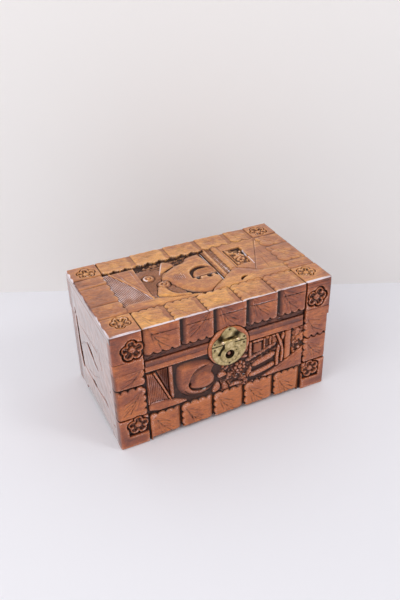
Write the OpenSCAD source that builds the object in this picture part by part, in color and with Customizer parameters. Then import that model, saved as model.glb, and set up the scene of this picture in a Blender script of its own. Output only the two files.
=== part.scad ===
// Hand-carved camphor-wood jewellery box.
// A boarded case with a hinged lid, a brass flap hasp and a lift-out tray.
// X runs along the front from left to right, the front faces -Y, and Z is up.
// The origin is the middle of the footprint, lock included, at floor level.

/* [Case] */
// Length of the lid, left to right
length = 305; // [270:1:360]
// Depth of the case, front face to back face
depth = 176; // [160:1:220]
// Height of the closed box
height = 176; // [165:1:220]
// Height of the case rim, where the lid meets it
rim_height = 118.5; // [110:0.5:130]
// Hairline gap between the case rim and the lid rim
rim_gap = 0.3; // [0.2:0.05:0.6]
// How far the lid stands past the case at each end
end_step = 0.8; // [0:0.1:1.5]

/* [Boards] */
// Thickness of the front and back boards of the case
case_wall = 13; // [12:0.5:16]
// Thickness of the front and back rails of the lid
lid_wall = 12; // [11:0.5:12]
// Thickness of the end boards
end_wall = 11; // [10:0.5:14]
// Thickness of the top board
top_thickness = 11; // [10:0.5:14]
// Thickness of the bottom board
bottom_thickness = 6; // [4:0.5:8]
// Height of the bottom board above the floor
bottom_height = 8; // [7:0.5:12]
// How far tongues and the bottom board enter their grooves
tongue_depth = 4; // [3:0.5:5]
// Thickness of the tongues on the end boards
tongue_thickness = 5; // [4:0.5:6]
// Thickness of the felt linings
felt = 1.2; // [0.8:0.1:2]
// Space left round each felt lining
felt_margin = 0.5; // [0.3:0.1:2]

/* [Feet] */
// Height of the cut-away between the corner feet
foot_height = 5.5; // [5:0.5:6.5]
// Width of the corner feet along the front and back
foot_width = 43; // [30:1:60]
// Width of the corner feet along the ends
foot_depth = 34; // [26:1:50]

/* [Carving] */
// Depth of the carved ground below the face of the boards
carve_depth = 4.5; // [3:0.5:5]
// Width of the carved border columns at the left and right
column_width = 39.5; // [34:0.5:44]
// Height of the lowest row of leaf tiles, from the floor
low_row_top = 45; // [42:1:48]
// Lowest point of the leaf tiles on the lid front
lid_row_bottom = 137; // [133.5:0.5:139]
// Width of the leaf-tile border on the top board
top_border = 40; // [34:1:44]
// Number of leaf tiles in each long row
tile_count = 5; // [4:1:6]
// Width of the dark gutter between two leaf tiles
gutter = 3; // [2:0.25:4]
// How far each scallop bulges
scallop_bulge = 2.6; // [1.5:0.1:3.5]
// Width of the bevel where a tile dips under the next one
tile_bevel = 7; // [4:0.5:9]
// Height left at the foot of that bevel
tile_low = 2; // [1:0.25:2.5]
// Height of the plain mouldings along the rim
moulding_height = 8.5; // [7:0.5:10]
// Radius of the ring of petals in a corner blossom
blossom_ring = 6.8; // [5.5:0.1:7.5]
// Outer radius of one petal
petal_radius = 4.9; // [4:0.1:5.5]
// Thickness of the raised rim round a petal
petal_rim = 1.5; // [1:0.1:2]
// Depth of the incised lines on the end boards
incision = 1.2; // [0.8:0.1:2]

/* [Lock] */
// Sideways offset of the lock from the middle of the front
lock_offset = 1.5; // [-3:0.5:3]
// Radius of the round wooden pad under the lock
pad_radius = 29.5; // [28:0.5:31]
// Radius of the brass lock plates
plate_radius = 24.5; // [22:0.5:26]
// How far the round of the lower plate lies below the rim
plate_drop = 9; // [8:0.5:11]
// How far the edge of the upper plate is drawn in between its three lobes
plate_lobe = 0.2; // [0:0.02:0.3]
// Thickness of the lock plates
plate_thickness = 1; // [0.8:0.1:1.4]
// Thickness of the hasp
hasp_thickness = 1.2; // [1:0.1:1.6]
// Running gap between the lower plate and the hasp
hasp_gap = 0.3; // [0.25:0.05:0.5]
// Height of the hasp hinge above the lid rim
hasp_hinge_rise = 5.4; // [5:0.2:8]
// Distance from the hasp hinge down to the centre of its eye
hasp_drop = 21.5; // [19:0.5:23]
// Radius of the round body of the hasp
hasp_radius = 13; // [11:0.5:13]
// Radius of the eye in the hasp
eye_radius = 6.2; // [5:0.1:7]
// Half the width of the hasp at its hinge
neck_half_width = 7; // [5.5:0.5:8]
// Outer radius of the hasp knuckles
hasp_knuckle_radius = 2; // [1.7:0.1:2.5]
// Radius of the hasp pin
hasp_pin_radius = 0.8; // [0.6:0.05:1]
// Radius of the balls on the ends of the hasp pin
pin_ball_radius = 2.3; // [2:0.1:2.6]
// Radius of the catch recess behind the eye
catch_radius = 5; // [4:0.1:5.5]
// Radius of the catch knob's head
knob_radius = 2.8; // [2:0.1:3.2]
// Radius of the shanks of nails and the catch knob
nail_radius = 0.8; // [0.6:0.05:1]
// Length of the plate nails under the head
nail_length = 7; // [5:0.5:7.5]
// Radius of the nail heads
nail_head_radius = 1.3; // [1.1:0.1:1.4]
// Thickness of the nail heads
nail_head = 0.6; // [0.4:0.1:0.9]

/* [Hinges] */
// Distance from the back face in to the hinge pins
hinge_inset = 3.5; // [3:0.1:4]
// Slope of the bevels that stop the open lid, from level
stop_bevel = 51; // [48:1:54]
// Distance of each hinge from the ends of the lid
hinge_from_end = 55; // [45:1:90]
// Length of each hinge
hinge_length = 26; // [22:1:34]
// Thickness of the hinge leaves
leaf_thickness = 1; // [0.8:0.1:1.2]
// Depth of the hinge leaves, from the pin inwards
leaf_depth = 8.5; // [7.5:0.5:9]
// Outer radius of the hinge knuckles
knuckle_radius = 2; // [1.8:0.1:2.3]
// Radius of the hinge pins
pin_radius = 0.9; // [0.7:0.05:1.1]
// Running clearance round each pin
pin_clearance = 0.05; // [0.02:0.01:0.09]
// Gap between moving metal faces
knuckle_gap = 0.3; // [0.2:0.05:0.5]
// Radius of the hinge screws
screw_radius = 0.9; // [0.7:0.1:1.1]
// Radius of the hinge screw heads
screw_head_radius = 1.7; // [1.4:0.1:1.9]
// Length of the hinge screws
screw_length = 8; // [6:0.5:10]

/* [Tray] */
// Gap between the tray and the walls of the case
tray_gap = 0.8; // [0.5:0.1:1.2]
// Depth of the tray top below the case rim
tray_below_rim = 1; // [0.5:0.1:3]
// Height of the tray
tray_height = 36; // [28:1:44]
// Thickness of the tray walls
tray_wall = 5; // [4:0.5:6]
// Thickness of the tray floor
tray_floor_thickness = 3; // [2.5:0.5:4]
// Thickness of the tray dividers
divider_thickness = 3.5; // [3:0.5:5]
// Height of the dividers below the tray top
divider_drop = 4; // [2:0.5:8]
// Number of small compartments along the back of the tray
back_cells = 4; // [3:1:6]
// Share of the tray depth given to the front compartments
front_share = 0.5; // [0.4:0.05:0.6]
// Radius of the finger notches in the tray ends
notch_radius = 11; // [8:0.5:13]
// Width of the runner strips that carry the tray
runner_width = 8; // [6:0.5:10]
// Height of the runner strips
runner_height = 10; // [8:0.5:14]

/* [Hidden] */

$fn = 48;
cut = 0.5;

// Lock stack, measured outwards from the front face.
pin_out = plate_thickness + hasp_gap + hasp_knuckle_radius;
lock_reach = pin_out + pin_ball_radius;

// The footprint with the lock is centred on the origin.
front_y = lock_reach / 2 - depth / 2;
back_y = front_y + depth;
case_length = length - 2 * end_step;
inner_x = case_length / 2 - end_wall;
inner_front_y = front_y + case_wall;
inner_back_y = back_y - case_wall;
lid_rim = rim_height + rim_gap;
rail_top = height - top_thickness;
lid_inner_front_y = front_y + lid_wall;
lid_inner_back_y = back_y - lid_wall;
hinge_y = back_y - hinge_inset;
hinge_z = rim_height + rim_gap / 2;
hinge_x = length / 2 - hinge_from_end;
lock_x = lock_offset;
hasp_z = lid_rim + hasp_hinge_rise;
eye_z = hasp_z - hasp_drop;
ground = -carve_depth;
floor_top = bottom_height + bottom_thickness;
row_length = length - 2 * column_width;
tile_pitch = row_length / tile_count;
tray_x = inner_x - tray_gap;
tray_front_y = inner_front_y + tray_gap;
tray_back_y = inner_back_y - tray_gap;
tray_top = rim_height - tray_below_rim;
tray_bottom = tray_top - tray_height;
tray_inner_x = tray_x - tray_wall;
tray_inner_front = tray_front_y + tray_wall;
tray_inner_back = tray_back_y - tray_wall;
divider_y = tray_inner_front + front_share * (tray_inner_back - tray_inner_front);
divider_top = tray_top - divider_drop;
cell_floor = tray_bottom + tray_floor_thickness;
wood = [0.58, 0.30, 0.14];
pale_wood = [0.72, 0.45, 0.22];
brass = [0.66, 0.58, 0.32];
velvet = [0.42, 0.06, 0.09];

// ---- Faces: local x and y lie in the face, local z points out of it ----

module on_front(u = 0, v = 0) {
    translate([u - length / 2, front_y, v])
        rotate([90, 0, 0])
            children();
}

module on_top(u = 0, v = 0) {
    translate([u - length / 2, front_y + v, height])
        children();
}

module on_left_end(u = 0, v = 0) {
    translate([-case_length / 2, back_y - u, v])
        rotate([90, 0, -90])
            children();
}

module on_right_end(u = 0, v = 0) {
    translate([case_length / 2, front_y + u, v])
        rotate([90, 0, 90])
            children();
}

module box_between(low, high) {
    translate(low)
        cube(high - low);
}

// ---- Scalloped leaf tiles, the carved border of the box ----

arc_steps = 6;

function scalloped(p, q, count) =
    count == 0 ? [p] : [
        for (i = [0:count - 1])
            for (k = [0:arc_steps - 1])
                let (
                    way = (q - p) / norm(q - p),
                    chord = norm(q - p) / count,
                    along = chord * (i + 0.5 - 0.5 * cos(180 * k / arc_steps)),
                    bulge = scallop_bulge * sin(180 * k / arc_steps)
                )
                p + along * way + bulge * [way.y, -way.x]
    ];

// scallops holds the count of scallops on the bottom, right, top and left edges.
function tile_outline(w, h, scallops) =
    let (
        inset = [for (n = scallops) n > 0 ? scallop_bulge : 0],
        a = [inset[3], inset[0]],
        b = [w - inset[1], inset[0]],
        c = [w - inset[1], h - inset[2]],
        d = [inset[3], h - inset[2]]
    )
    concat(
        scalloped(a, b, scallops[0]), scalloped(b, c, scallops[1]),
        scalloped(c, d, scallops[2]), scalloped(d, a, scallops[3])
    );

// The tile is bevelled down on its right side, or on its left with dip_left.
module leaf_tile(w, h, scallops, dip_left = false) {
    run = [[0, 0], [w, 0], [w, tile_low], [w - tile_bevel, carve_depth], [0, carve_depth]];
    section = dip_left ? [for (p = run) [w - p.x, p.y]] : run;
    translate([0, 0, ground])
        intersection() {
            linear_extrude(carve_depth)
                polygon(tile_outline(w, h, scallops));
            translate([0, h, 0])
                rotate([90, 0, 0])
                    linear_extrude(h)
                        polygon(section);
        }
}

module tile_row(h, scallops, dip_left = false) {
    for (i = [0:tile_count - 1])
        translate([i * tile_pitch + gutter / 2, 0, 0])
            leaf_tile(tile_pitch - gutter, h, scallops, dip_left);
}

// ---- Corner blossoms ----

petal_count = 5;

module blossom() {
    translate([0, 0, ground]) {
        difference() {
            for (i = [0:petal_count - 1])
                rotate(90 + i * 360 / petal_count)
                    translate([blossom_ring, 0, 0])
                        cylinder(r = petal_radius, h = carve_depth);
            for (i = [0:petal_count - 1])
                rotate(90 + i * 360 / petal_count)
                    translate([blossom_ring, 0, carve_depth / 2])
                        cylinder(r = petal_radius - petal_rim, h = carve_depth);
        }
        cylinder(r1 = blossom_ring - petal_rim, r2 = petal_rim, h = carve_depth - cut);
    }
}

// A plain raised block with a square well that holds one blossom.
module blossom_block(w, h, centre) {
    well = blossom_ring + petal_radius + 1;
    difference() {
        translate([0, 0, ground])
            cube([w, h, carve_depth]);
        translate([centre.x - well, centre.y - well, ground])
            cube([2 * well, 2 * well, carve_depth + cut]);
    }
    translate(centre)
        blossom();
}

module raised(points, rise) {
    translate([0, 0, ground])
        linear_extrude(rise)
            polygon(points);
}

module bar(from, to, width, rise) {
    way = (to - from) / norm(to - from);
    side = width / 2 * [-way.y, way.x];
    raised([from - side, to - side, to + side, from + side], rise);
}

// A low round hill or bush: a slice of a ball with this foot radius and rise.
module mound(centre, foot, rise) {
    ball = (foot * foot + rise * rise) / (2 * rise);
    translate([centre.x, centre.y, ground])
        intersection() {
            translate([0, 0, rise - ball])
                sphere(r = ball);
            cylinder(r = foot, h = rise + cut);
        }
}

// ---- Carved scene on the front: river net, hill with a cave, hut and jetty ----

scene_left = column_width + 1;
scene_right = length - column_width - 1;

module front_scene() {
    net_top = [56, 103];
    net_foot = [73, 58];
    raised([[scene_left, 60], net_foot, net_top, [46, 104], [scene_left, 96]], 1.5);
    for (i = [0:5])
        bar([44 + i * 4.6, 61], [44 + i * 3, 100 - i * 7], 1.2, 2.4);
    bar(net_top, net_foot, 3, 4);
    raised([[scene_left, 47], [96, 47], [76, 58], [scene_left, 60]], 3.5);
    bar([74, 59], [74, 109], 6, 3.2);
    difference() {
        mound([108, 75], 27, carve_depth);
        translate([115, 78, ground + 1])
            cylinder(r = 16, h = carve_depth);
    }
    mound([115, 76], 15, 3.4);
    mound([143, 71], 8, 4);
    mound([137, 56], 10, 3.6);
    mound([168, 51], 6, 3);
    mound([170, 78], 10, carve_depth);
    bar([183, 105], [223, 105], 5, 4);
    for (u = [187, 196, 205, 214])
        bar([u, 85], [u, 104], 3.4, 3);
    bar([186, 77], [224, 91], 4.5, carve_depth);
    bar([186, 66], [224, 78], 5, 3.4);
    bar([224, 62], [232, 108], 5.5, carve_depth);
    bar([241, 62], [241, 109], 9, 3.6);
    raised([[200, 47], [scene_right, 47], [scene_right, 78], [226, 60]], carve_depth);
}

module front_board() {
    bottom_row = low_row_top - foot_height;
    block = column_width - gutter / 2;
    mid = (low_row_top + gutter + rim_height) / 2;
    side_tile_top = rim_height - mid;
    side_tile_low = mid - gutter - low_row_top - gutter;
    color(wood)
        difference() {
            union() {
                box_between(
                    [-case_length / 2, front_y + carve_depth, 0],
                    [case_length / 2, inner_front_y, rim_height]
                );
                intersection() {
                    union() {
                        on_front(column_width, foot_height)
                            tile_row(bottom_row, [0, 0, 3, 3]);
                        on_front() {
                            blossom_block(block, low_row_top, [25, 30]);
                            front_scene();
                        }
                        on_front(length - block)
                            blossom_block(block, low_row_top, [block - 24, 30]);
                        on_front(0, low_row_top + gutter)
                            leaf_tile(block, side_tile_low, [0, 3, 2, 0], true);
                        on_front(0, mid)
                            leaf_tile(block, side_tile_top, [0, 2, 0, 0], true);
                        on_front(length - block, low_row_top + gutter)
                            leaf_tile(block, side_tile_low, [0, 0, 0, 3]);
                        on_front(length - block, mid)
                            leaf_tile(block, side_tile_top, [3, 0, 0, 2]);
                        on_front(column_width, rim_height - moulding_height)
                            translate([0, 0, ground])
                                cube([row_length, moulding_height, carve_depth - 1]);
                        lock_pad();
                    }
                    box_between(
                        [-case_length / 2, front_y, 0],
                        [case_length / 2, inner_front_y, rim_height]
                    );
                }
            }
            feet_cut(case_length - 2 * foot_width, front_y);
            wall_grooves();
            catch_recess();
            plate_nail_holes(lower_nail_places);
        }
}

// Round pad that carries the lock plates; case and lid each keep their part.
module lock_pad() {
    translate([lock_x, front_y + carve_depth + cut, hinge_z - plate_drop / 2])
        rotate([90, 0, 0])
            cylinder(r = pad_radius, h = carve_depth + cut);
}

module feet_cut(width, y) {
    translate([-width / 2, y - cut, -cut])
        cube([width, case_wall + 2 * cut, foot_height + cut]);
}

// Grooves for the end boards' tongues and for the bottom board.
module wall_grooves() {
    for (side = [-1, 1])
        translate([side * (inner_x + end_wall / 2), (inner_front_y + inner_back_y) / 2, rim_height / 2])
            cube(
                [tongue_thickness, inner_back_y - inner_front_y + 2 * tongue_depth, rim_height + 2 * cut],
                center = true
            );
    bottom_outline();
}

module bottom_outline() {
    box_between(
        [-inner_x - tongue_depth, inner_front_y - tongue_depth, bottom_height],
        [inner_x + tongue_depth, inner_back_y + tongue_depth, floor_top]
    );
}

// The rear edges of case and lid are bevelled; they meet when the lid is open.
module stop_bevel_cut(sense, from_z) {
    rise = (hinge_inset + cut) * tan(stop_bevel);
    translate([-length / 2 - cut, 0, 0])
        rotate([90, 0, 90])
            linear_extrude(length + 2 * cut)
                polygon([
                    [hinge_y, from_z],
                    [back_y + cut, from_z + sense * rise],
                    [back_y + cut, from_z - sense * cut],
                    [hinge_y, from_z - sense * cut]
                ]);
}

// Room for the hinge knuckles and pockets for the leaves of one side.
module hinge_mortises(leaf_z) {
    for (x = [-hinge_x, hinge_x]) {
        translate([x, hinge_y, hinge_z])
            rotate([0, 90, 0])
                cylinder(r = knuckle_radius + knuckle_gap, h = hinge_length + 2 * knuckle_gap, center = true);
        box_between(
            [x - hinge_length / 2, hinge_y - leaf_depth, leaf_z],
            [x + hinge_length / 2, hinge_y, leaf_z + leaf_thickness]
        );
        for (side = [-1, 1])
            translate([x + side * screw_spread, screw_y, leaf_z + leaf_thickness / 2])
                cylinder(r = screw_radius, h = 2 * screw_length, center = true);
    }
}

module back_board() {
    color(wood)
        difference() {
            box_between([-case_length / 2, inner_back_y, 0], [case_length / 2, back_y, rim_height]);
            feet_cut(case_length - 2 * foot_width, inner_back_y);
            wall_grooves();
            stop_bevel_cut(-1, rim_height);
            hinge_mortises(rim_height - leaf_thickness);
        }
}

module incised(from, to, width) {
    way = (to - from) / norm(to - from);
    side = width / 2 * [-way.y, way.x];
    translate([0, 0, -incision])
        linear_extrude(incision + cut)
            polygon([from, (from + to) / 2 - side, to, (from + to) / 2 + side]);
}

// Shallow leaf strokes on the ends of the case, between the rim and the feet.
module end_strokes() {
    incised([26, 36], [26, 108], 5);
    incised([30, 44], [128, 46], 3);
    incised([108, 80], [66, 97], 4);
    incised([32, 79], [60, 95], 2.5);
    incised([60, 52], [102, 66], 3);
    incised([100, 66], [122, 104], 2.5);
}

module end_board() {
    difference() {
        union() {
            box_between([inner_x, inner_front_y, 0], [inner_x + end_wall, inner_back_y, rim_height]);
            translate([inner_x + (end_wall - tongue_thickness) / 2, inner_front_y - tongue_depth, 0])
                cube([tongue_thickness, inner_back_y - inner_front_y + 2 * tongue_depth, rim_height]);
        }
        box_between(
            [inner_x - cut, front_y + foot_depth, -cut],
            [inner_x + end_wall + cut, back_y - foot_depth, foot_height]
        );
        bottom_outline();
    }
}

module left_end_board() {
    color(wood)
        difference() {
            mirror([1, 0, 0])
                end_board();
            on_left_end()
                end_strokes();
        }
}

module right_end_board() {
    color(wood)
        difference() {
            end_board();
            on_right_end()
                end_strokes();
        }
}

module bottom_board() {
    color(pale_wood)
        bottom_outline();
}

module case_lining() {
    color(velvet)
        box_between(
            [-inner_x + felt_margin, inner_front_y + felt_margin, floor_top],
            [inner_x - felt_margin, inner_back_y - felt_margin, floor_top + felt]
        );
}

module tray_runner() {
    box_between(
        [inner_x - runner_width, inner_front_y + felt_margin, tray_bottom - runner_height],
        [inner_x, inner_back_y - felt_margin, tray_bottom]
    );
}

module left_tray_runner() {
    color(pale_wood)
        mirror([1, 0, 0])
            tray_runner();
}

module right_tray_runner() {
    color(pale_wood)
        tray_runner();
}

// ---- Brass lock: two half-round plates, a flap hasp and a catch knob ----

nail_ring = plate_radius - 3.2;
upper_nail_places = [for (a = [12, 90, 168]) [nail_ring * cos(a), lid_rim + nail_ring * sin(a)]];
lower_nail_places = [
    for (a = [192, 270, 348])
        [nail_ring * cos(a), rim_height - (a == 270 ? plate_drop : 0) + nail_ring * sin(a)]
];

module on_lock(out = 0) {
    translate([lock_x, front_y - out, 0])
        rotate([90, 0, 0])
            children();
}

module plate_nail_holes(places) {
    for (p = places)
        on_lock(-nail_length)
            translate([p.x, p.y, 0])
                cylinder(r = nail_radius, h = nail_length + 2 * plate_thickness);
}

module plate_nails(places) {
    color(brass)
        for (p = places) {
            on_lock(plate_thickness - nail_length)
                translate([p.x, p.y, 0])
                    cylinder(r = nail_radius, h = nail_length);
            on_lock(plate_thickness)
                translate([p.x, p.y, 0])
                    cylinder(r1 = nail_head_radius, r2 = nail_radius, h = nail_head);
        }
}

module lower_lock_plate() {
    color(brass)
        difference() {
            on_lock()
                linear_extrude(plate_thickness)
                    intersection() {
                        union() {
                            translate([0, rim_height - plate_drop])
                                circle(r = plate_radius);
                            translate([-plate_radius, rim_height - plate_drop])
                                square([2 * plate_radius, plate_drop]);
                        }
                        translate([-length / 2, 0])
                            square([length, rim_height]);
                    }
            catch_recess();
            plate_nail_holes(lower_nail_places);
        }
}

// Recess behind the hasp's eye, through the lower plate into the front board.
module catch_recess() {
    on_lock(-catch_radius)
        translate([0, eye_z, 0])
            cylinder(r = catch_radius, h = catch_radius + 2 * plate_thickness);
}

module catch_knob() {
    stem = catch_radius + plate_thickness - knob_radius;
    color(brass)
        on_lock(-catch_radius)
            translate([0, eye_z, 0]) {
                cylinder(r = 2 * nail_radius, h = stem);
                translate([0, 0, stem])
                    sphere(r = knob_radius);
            }
}

module lower_plate_nails() {
    plate_nails(lower_nail_places);
}

module upper_plate_nails() {
    plate_nails(upper_nail_places);
}

// Barrels round the hasp pin: from and to are measured along the pin.
module hasp_barrel(from, to, radius) {
    translate([lock_x + from, front_y - pin_out, hasp_z])
        rotate([0, 90, 0])
            cylinder(r = radius, h = to - from);
}

lug_width = 3.5;
lobe_step = 5;

module upper_lock_plate() {
    color(brass)
        difference() {
            union() {
                on_lock()
                    translate([0, lid_rim, 0])
                        linear_extrude(plate_thickness)
                            polygon([
                                for (a = [0:lobe_step:180])
                                    plate_radius * (1 - plate_lobe / 2 * (1 - cos(4 * a))) * [cos(a), sin(a)]
                            ]);
                for (side = [-1, 1])
                    translate([lock_x + side * (neck_half_width + knuckle_gap + lug_width / 2), 0, 0]) {
                        translate([0, front_y - pin_out / 2, hasp_z])
                            cube([lug_width, pin_out, 2 * hasp_knuckle_radius], center = true);
                        translate([0, front_y - pin_out, hasp_z])
                            rotate([0, 90, 0])
                                cylinder(r = hasp_knuckle_radius, h = lug_width, center = true);
                    }
            }
            hasp_barrel(-plate_radius, plate_radius, hasp_pin_radius);
            plate_nail_holes(upper_nail_places);
        }
}

module hasp_pin() {
    reach = neck_half_width + knuckle_gap + lug_width;
    color(brass) {
        hasp_barrel(-reach, reach, hasp_pin_radius);
        for (side = [-1, 1])
            difference() {
                translate([lock_x + side * reach, front_y - pin_out, hasp_z])
                    sphere(r = pin_ball_radius);
                hasp_barrel(-reach, reach, 2 * pin_ball_radius);
            }
    }
}

module hasp() {
    back = plate_thickness + hasp_gap;
    color(brass)
        difference() {
            union() {
                on_lock(back)
                    linear_extrude(hasp_thickness)
                        union() {
                            translate([0, eye_z])
                                circle(r = hasp_radius);
                            polygon([
                                [-neck_half_width, hasp_z],
                                [-neck_half_width, eye_z + hasp_radius / 2],
                                [neck_half_width, eye_z + hasp_radius / 2],
                                [neck_half_width, hasp_z]
                            ]);
                        }
                hasp_barrel(-neck_half_width, neck_half_width, hasp_knuckle_radius);
            }
            hasp_barrel(-length, length, hasp_pin_radius + pin_clearance);
            on_lock()
                translate([0, eye_z, 0])
                    cylinder(r = eye_radius, h = 2 * pin_out);
        }
}

// ---- Butt hinges, let into the rims of case and lid ----

knuckle_length = (hinge_length - 2 * knuckle_gap) / 3;
screw_spread = hinge_length / 3;
screw_y = hinge_y - (leaf_depth + knuckle_radius) / 2;

module knuckle(x, reach_z) {
    translate([x, hinge_y, hinge_z])
        rotate([0, 90, 0])
            cylinder(r = knuckle_radius, h = knuckle_length, center = true);
    translate([x - knuckle_length / 2, hinge_y - knuckle_radius - knuckle_gap - cut, min(reach_z, hinge_z)])
        cube([knuckle_length, knuckle_radius + knuckle_gap + cut, abs(reach_z - hinge_z)]);
}

// places holds the middles of this leaf's knuckles, from the middle of the hinge.
module hinge_leaf(x, leaf_z, reach_z, places) {
    color(brass)
        difference() {
            union() {
                box_between(
                    [x - hinge_length / 2, hinge_y - leaf_depth, leaf_z],
                    [x + hinge_length / 2, hinge_y - knuckle_radius - knuckle_gap, leaf_z + leaf_thickness]
                );
                for (place = places)
                    knuckle(x + place, reach_z);
            }
            translate([x, hinge_y, hinge_z])
                rotate([0, 90, 0])
                    cylinder(r = pin_radius + pin_clearance, h = 2 * hinge_length, center = true);
            for (side = [-1, 1])
                translate([x + side * screw_spread, screw_y, leaf_z])
                    screw_sink(reach_z > hinge_z);
        }
}

// Screw with a flat countersunk head, whose head lies at the leaf's outer face.
module screw_sink(upwards) {
    head_depth = leaf_thickness;
    translate([0, 0, upwards ? 0 : head_depth])
        mirror([0, 0, upwards ? 1 : 0])
            translate([0, 0, -head_depth]) {
                cylinder(r1 = screw_radius, r2 = screw_head_radius, h = head_depth);
                translate([0, 0, head_depth - screw_length])
                    cylinder(r = screw_radius, h = screw_length - head_depth);
            }
}

module hinge_case_leaf(x) {
    hinge_leaf(
        x, rim_height - leaf_thickness, rim_height - leaf_thickness,
        [-knuckle_length - knuckle_gap, knuckle_length + knuckle_gap]
    );
}

module hinge_lid_leaf(x) {
    hinge_leaf(x, lid_rim, lid_rim + leaf_thickness, [0]);
}

module left_hinge_case_leaf() {
    hinge_case_leaf(-hinge_x);
}

module right_hinge_case_leaf() {
    hinge_case_leaf(hinge_x);
}

module left_hinge_lid_leaf() {
    hinge_lid_leaf(-hinge_x);
}

module right_hinge_lid_leaf() {
    hinge_lid_leaf(hinge_x);
}

module hinge_screws(leaf_z, upwards) {
    color(brass)
        for (x = [-hinge_x, hinge_x], side = [-1, 1])
            translate([x + side * screw_spread, screw_y, leaf_z])
                screw_sink(upwards);
}

module hinge_case_screws() {
    hinge_screws(rim_height - leaf_thickness, false);
}

module hinge_lid_screws() {
    hinge_screws(lid_rim, true);
}

module hinge_pin(x) {
    color(brass)
        translate([x, hinge_y, hinge_z])
            rotate([0, 90, 0])
                cylinder(r = pin_radius, h = hinge_length, center = true);
}

module left_hinge_pin() {
    hinge_pin(-hinge_x);
}

module right_hinge_pin() {
    hinge_pin(hinge_x);
}

// ---- Lid: four rails under a carved top board ----

lid_x = length / 2;

module lid_front_rail() {
    block = column_width - gutter / 2;
    row_height = rail_top - lid_row_bottom;
    blossom_v = lid_row_bottom + blossom_ring + petal_radius + 1;
    color(wood)
        difference() {
            union() {
                box_between(
                    [-lid_x, front_y + carve_depth, lid_rim],
                    [lid_x, lid_inner_front_y, rail_top]
                );
                intersection() {
                    union() {
                        on_front(column_width, lid_row_bottom)
                            tile_row(row_height, [3, 0, 0, 0], true);
                        on_front(0, lid_rim)
                            blossom_block(block, rail_top - lid_rim, [26, blossom_v - lid_rim]);
                        on_front(length - block, lid_rim)
                            blossom_block(block, rail_top - lid_rim, [block - 23, blossom_v - lid_rim]);
                        on_front(column_width, lid_rim)
                            translate([0, 0, ground])
                                cube([row_length, moulding_height, carve_depth - 1]);
                        lock_pad();
                    }
                    box_between([-lid_x, front_y, lid_rim], [lid_x, lid_inner_front_y, rail_top]);
                }
            }
            lid_grooves();
            plate_nail_holes(upper_nail_places);
        }
}

module lid_grooves() {
    for (side = [-1, 1])
        translate([side * (inner_x + end_wall / 2), (lid_inner_front_y + lid_inner_back_y) / 2, 0])
            lid_tongue(lid_rim - cut, rail_top + cut);
}

module lid_tongue(low, high) {
    span = lid_inner_back_y - lid_inner_front_y + 2 * tongue_depth;
    translate([-tongue_thickness / 2, -span / 2, low])
        cube([tongue_thickness, span, high - low]);
}

module lid_back_rail() {
    color(wood)
        difference() {
            box_between([-lid_x, lid_inner_back_y, lid_rim], [lid_x, back_y, rail_top]);
            lid_grooves();
            stop_bevel_cut(1, lid_rim);
            hinge_mortises(lid_rim);
        }
}

module lid_end_rail() {
    box_between([inner_x, lid_inner_front_y, lid_rim], [lid_x, lid_inner_back_y, rail_top]);
    translate([inner_x + end_wall / 2, (lid_inner_front_y + lid_inner_back_y) / 2, 0])
        lid_tongue(lid_rim, rail_top);
}

module lid_left_rail() {
    color(wood)
        mirror([1, 0, 0])
            lid_end_rail();
}

module lid_right_rail() {
    color(wood)
        lid_end_rail();
}

// Carved scene on the top: striped water, sampan with an arched cabin, mast, sail and rock.
module top_scene() {
    raised([[41, 61], [79, 62], [50, 138], [41, 138]], 1.5);
    for (i = [0:6])
        bar([44 + i * 5, 62], [43 + i * 1.4, 136 - i * 9], 1.2, 2.2);
    bar([80, 62], [50, 138], 4, 3.6);
    raised([[41, 42], [150, 42], [105, 56], [80, 60], [41, 60]], 3.4);
    difference() {
        mound([91, 108], 9, 3.6);
        translate([91, 108, ground + 1])
            cylinder(r = 4.5, h = carve_depth);
    }
    mound([91, 108], 3.4, 3);
    mound([106, 82], 9, carve_depth);
    difference() {
        raised([
            [108, 60], [102, 94], [105, 112], [118, 114], [130, 122], [140, 130], [152, 133],
            [165, 136], [179, 136], [179, 56], [152, 44], [125, 48]
        ], 3.8);
        translate([162, 88, ground + 0.8])
            cylinder(r = 18, h = carve_depth);
    }
    bar([145, 78], [180, 78], 4, 3);
    raised([[108, 112], [124, 139], [133, 128], [126, 118]], 2.6);
    bar([181, 60], [181, 139], 3.2, carve_depth);
    bar([190, 74], [190, 139], 10, 3.2);
    bar([201, 78], [201, 139], 10, 4);
    difference() {
        raised([[205, 70], [235, 78], [262, 139], [205, 139]], 4);
        raised([[210, 80], [229, 84], [235, 129], [210, 129]], carve_depth + cut);
    }
    bar([263, 139], [226, 63], 4, carve_depth);
    raised([[230, 62], [265, 42], [265, 132]], 2.4);
    difference() {
        raised([[152, 42], [265, 42], [265, 46], [226, 63], [203, 83], [180, 62]], carve_depth);
        translate([203, 52, ground])
            cylinder(r = 5, h = carve_depth + cut);
    }
}

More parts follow.
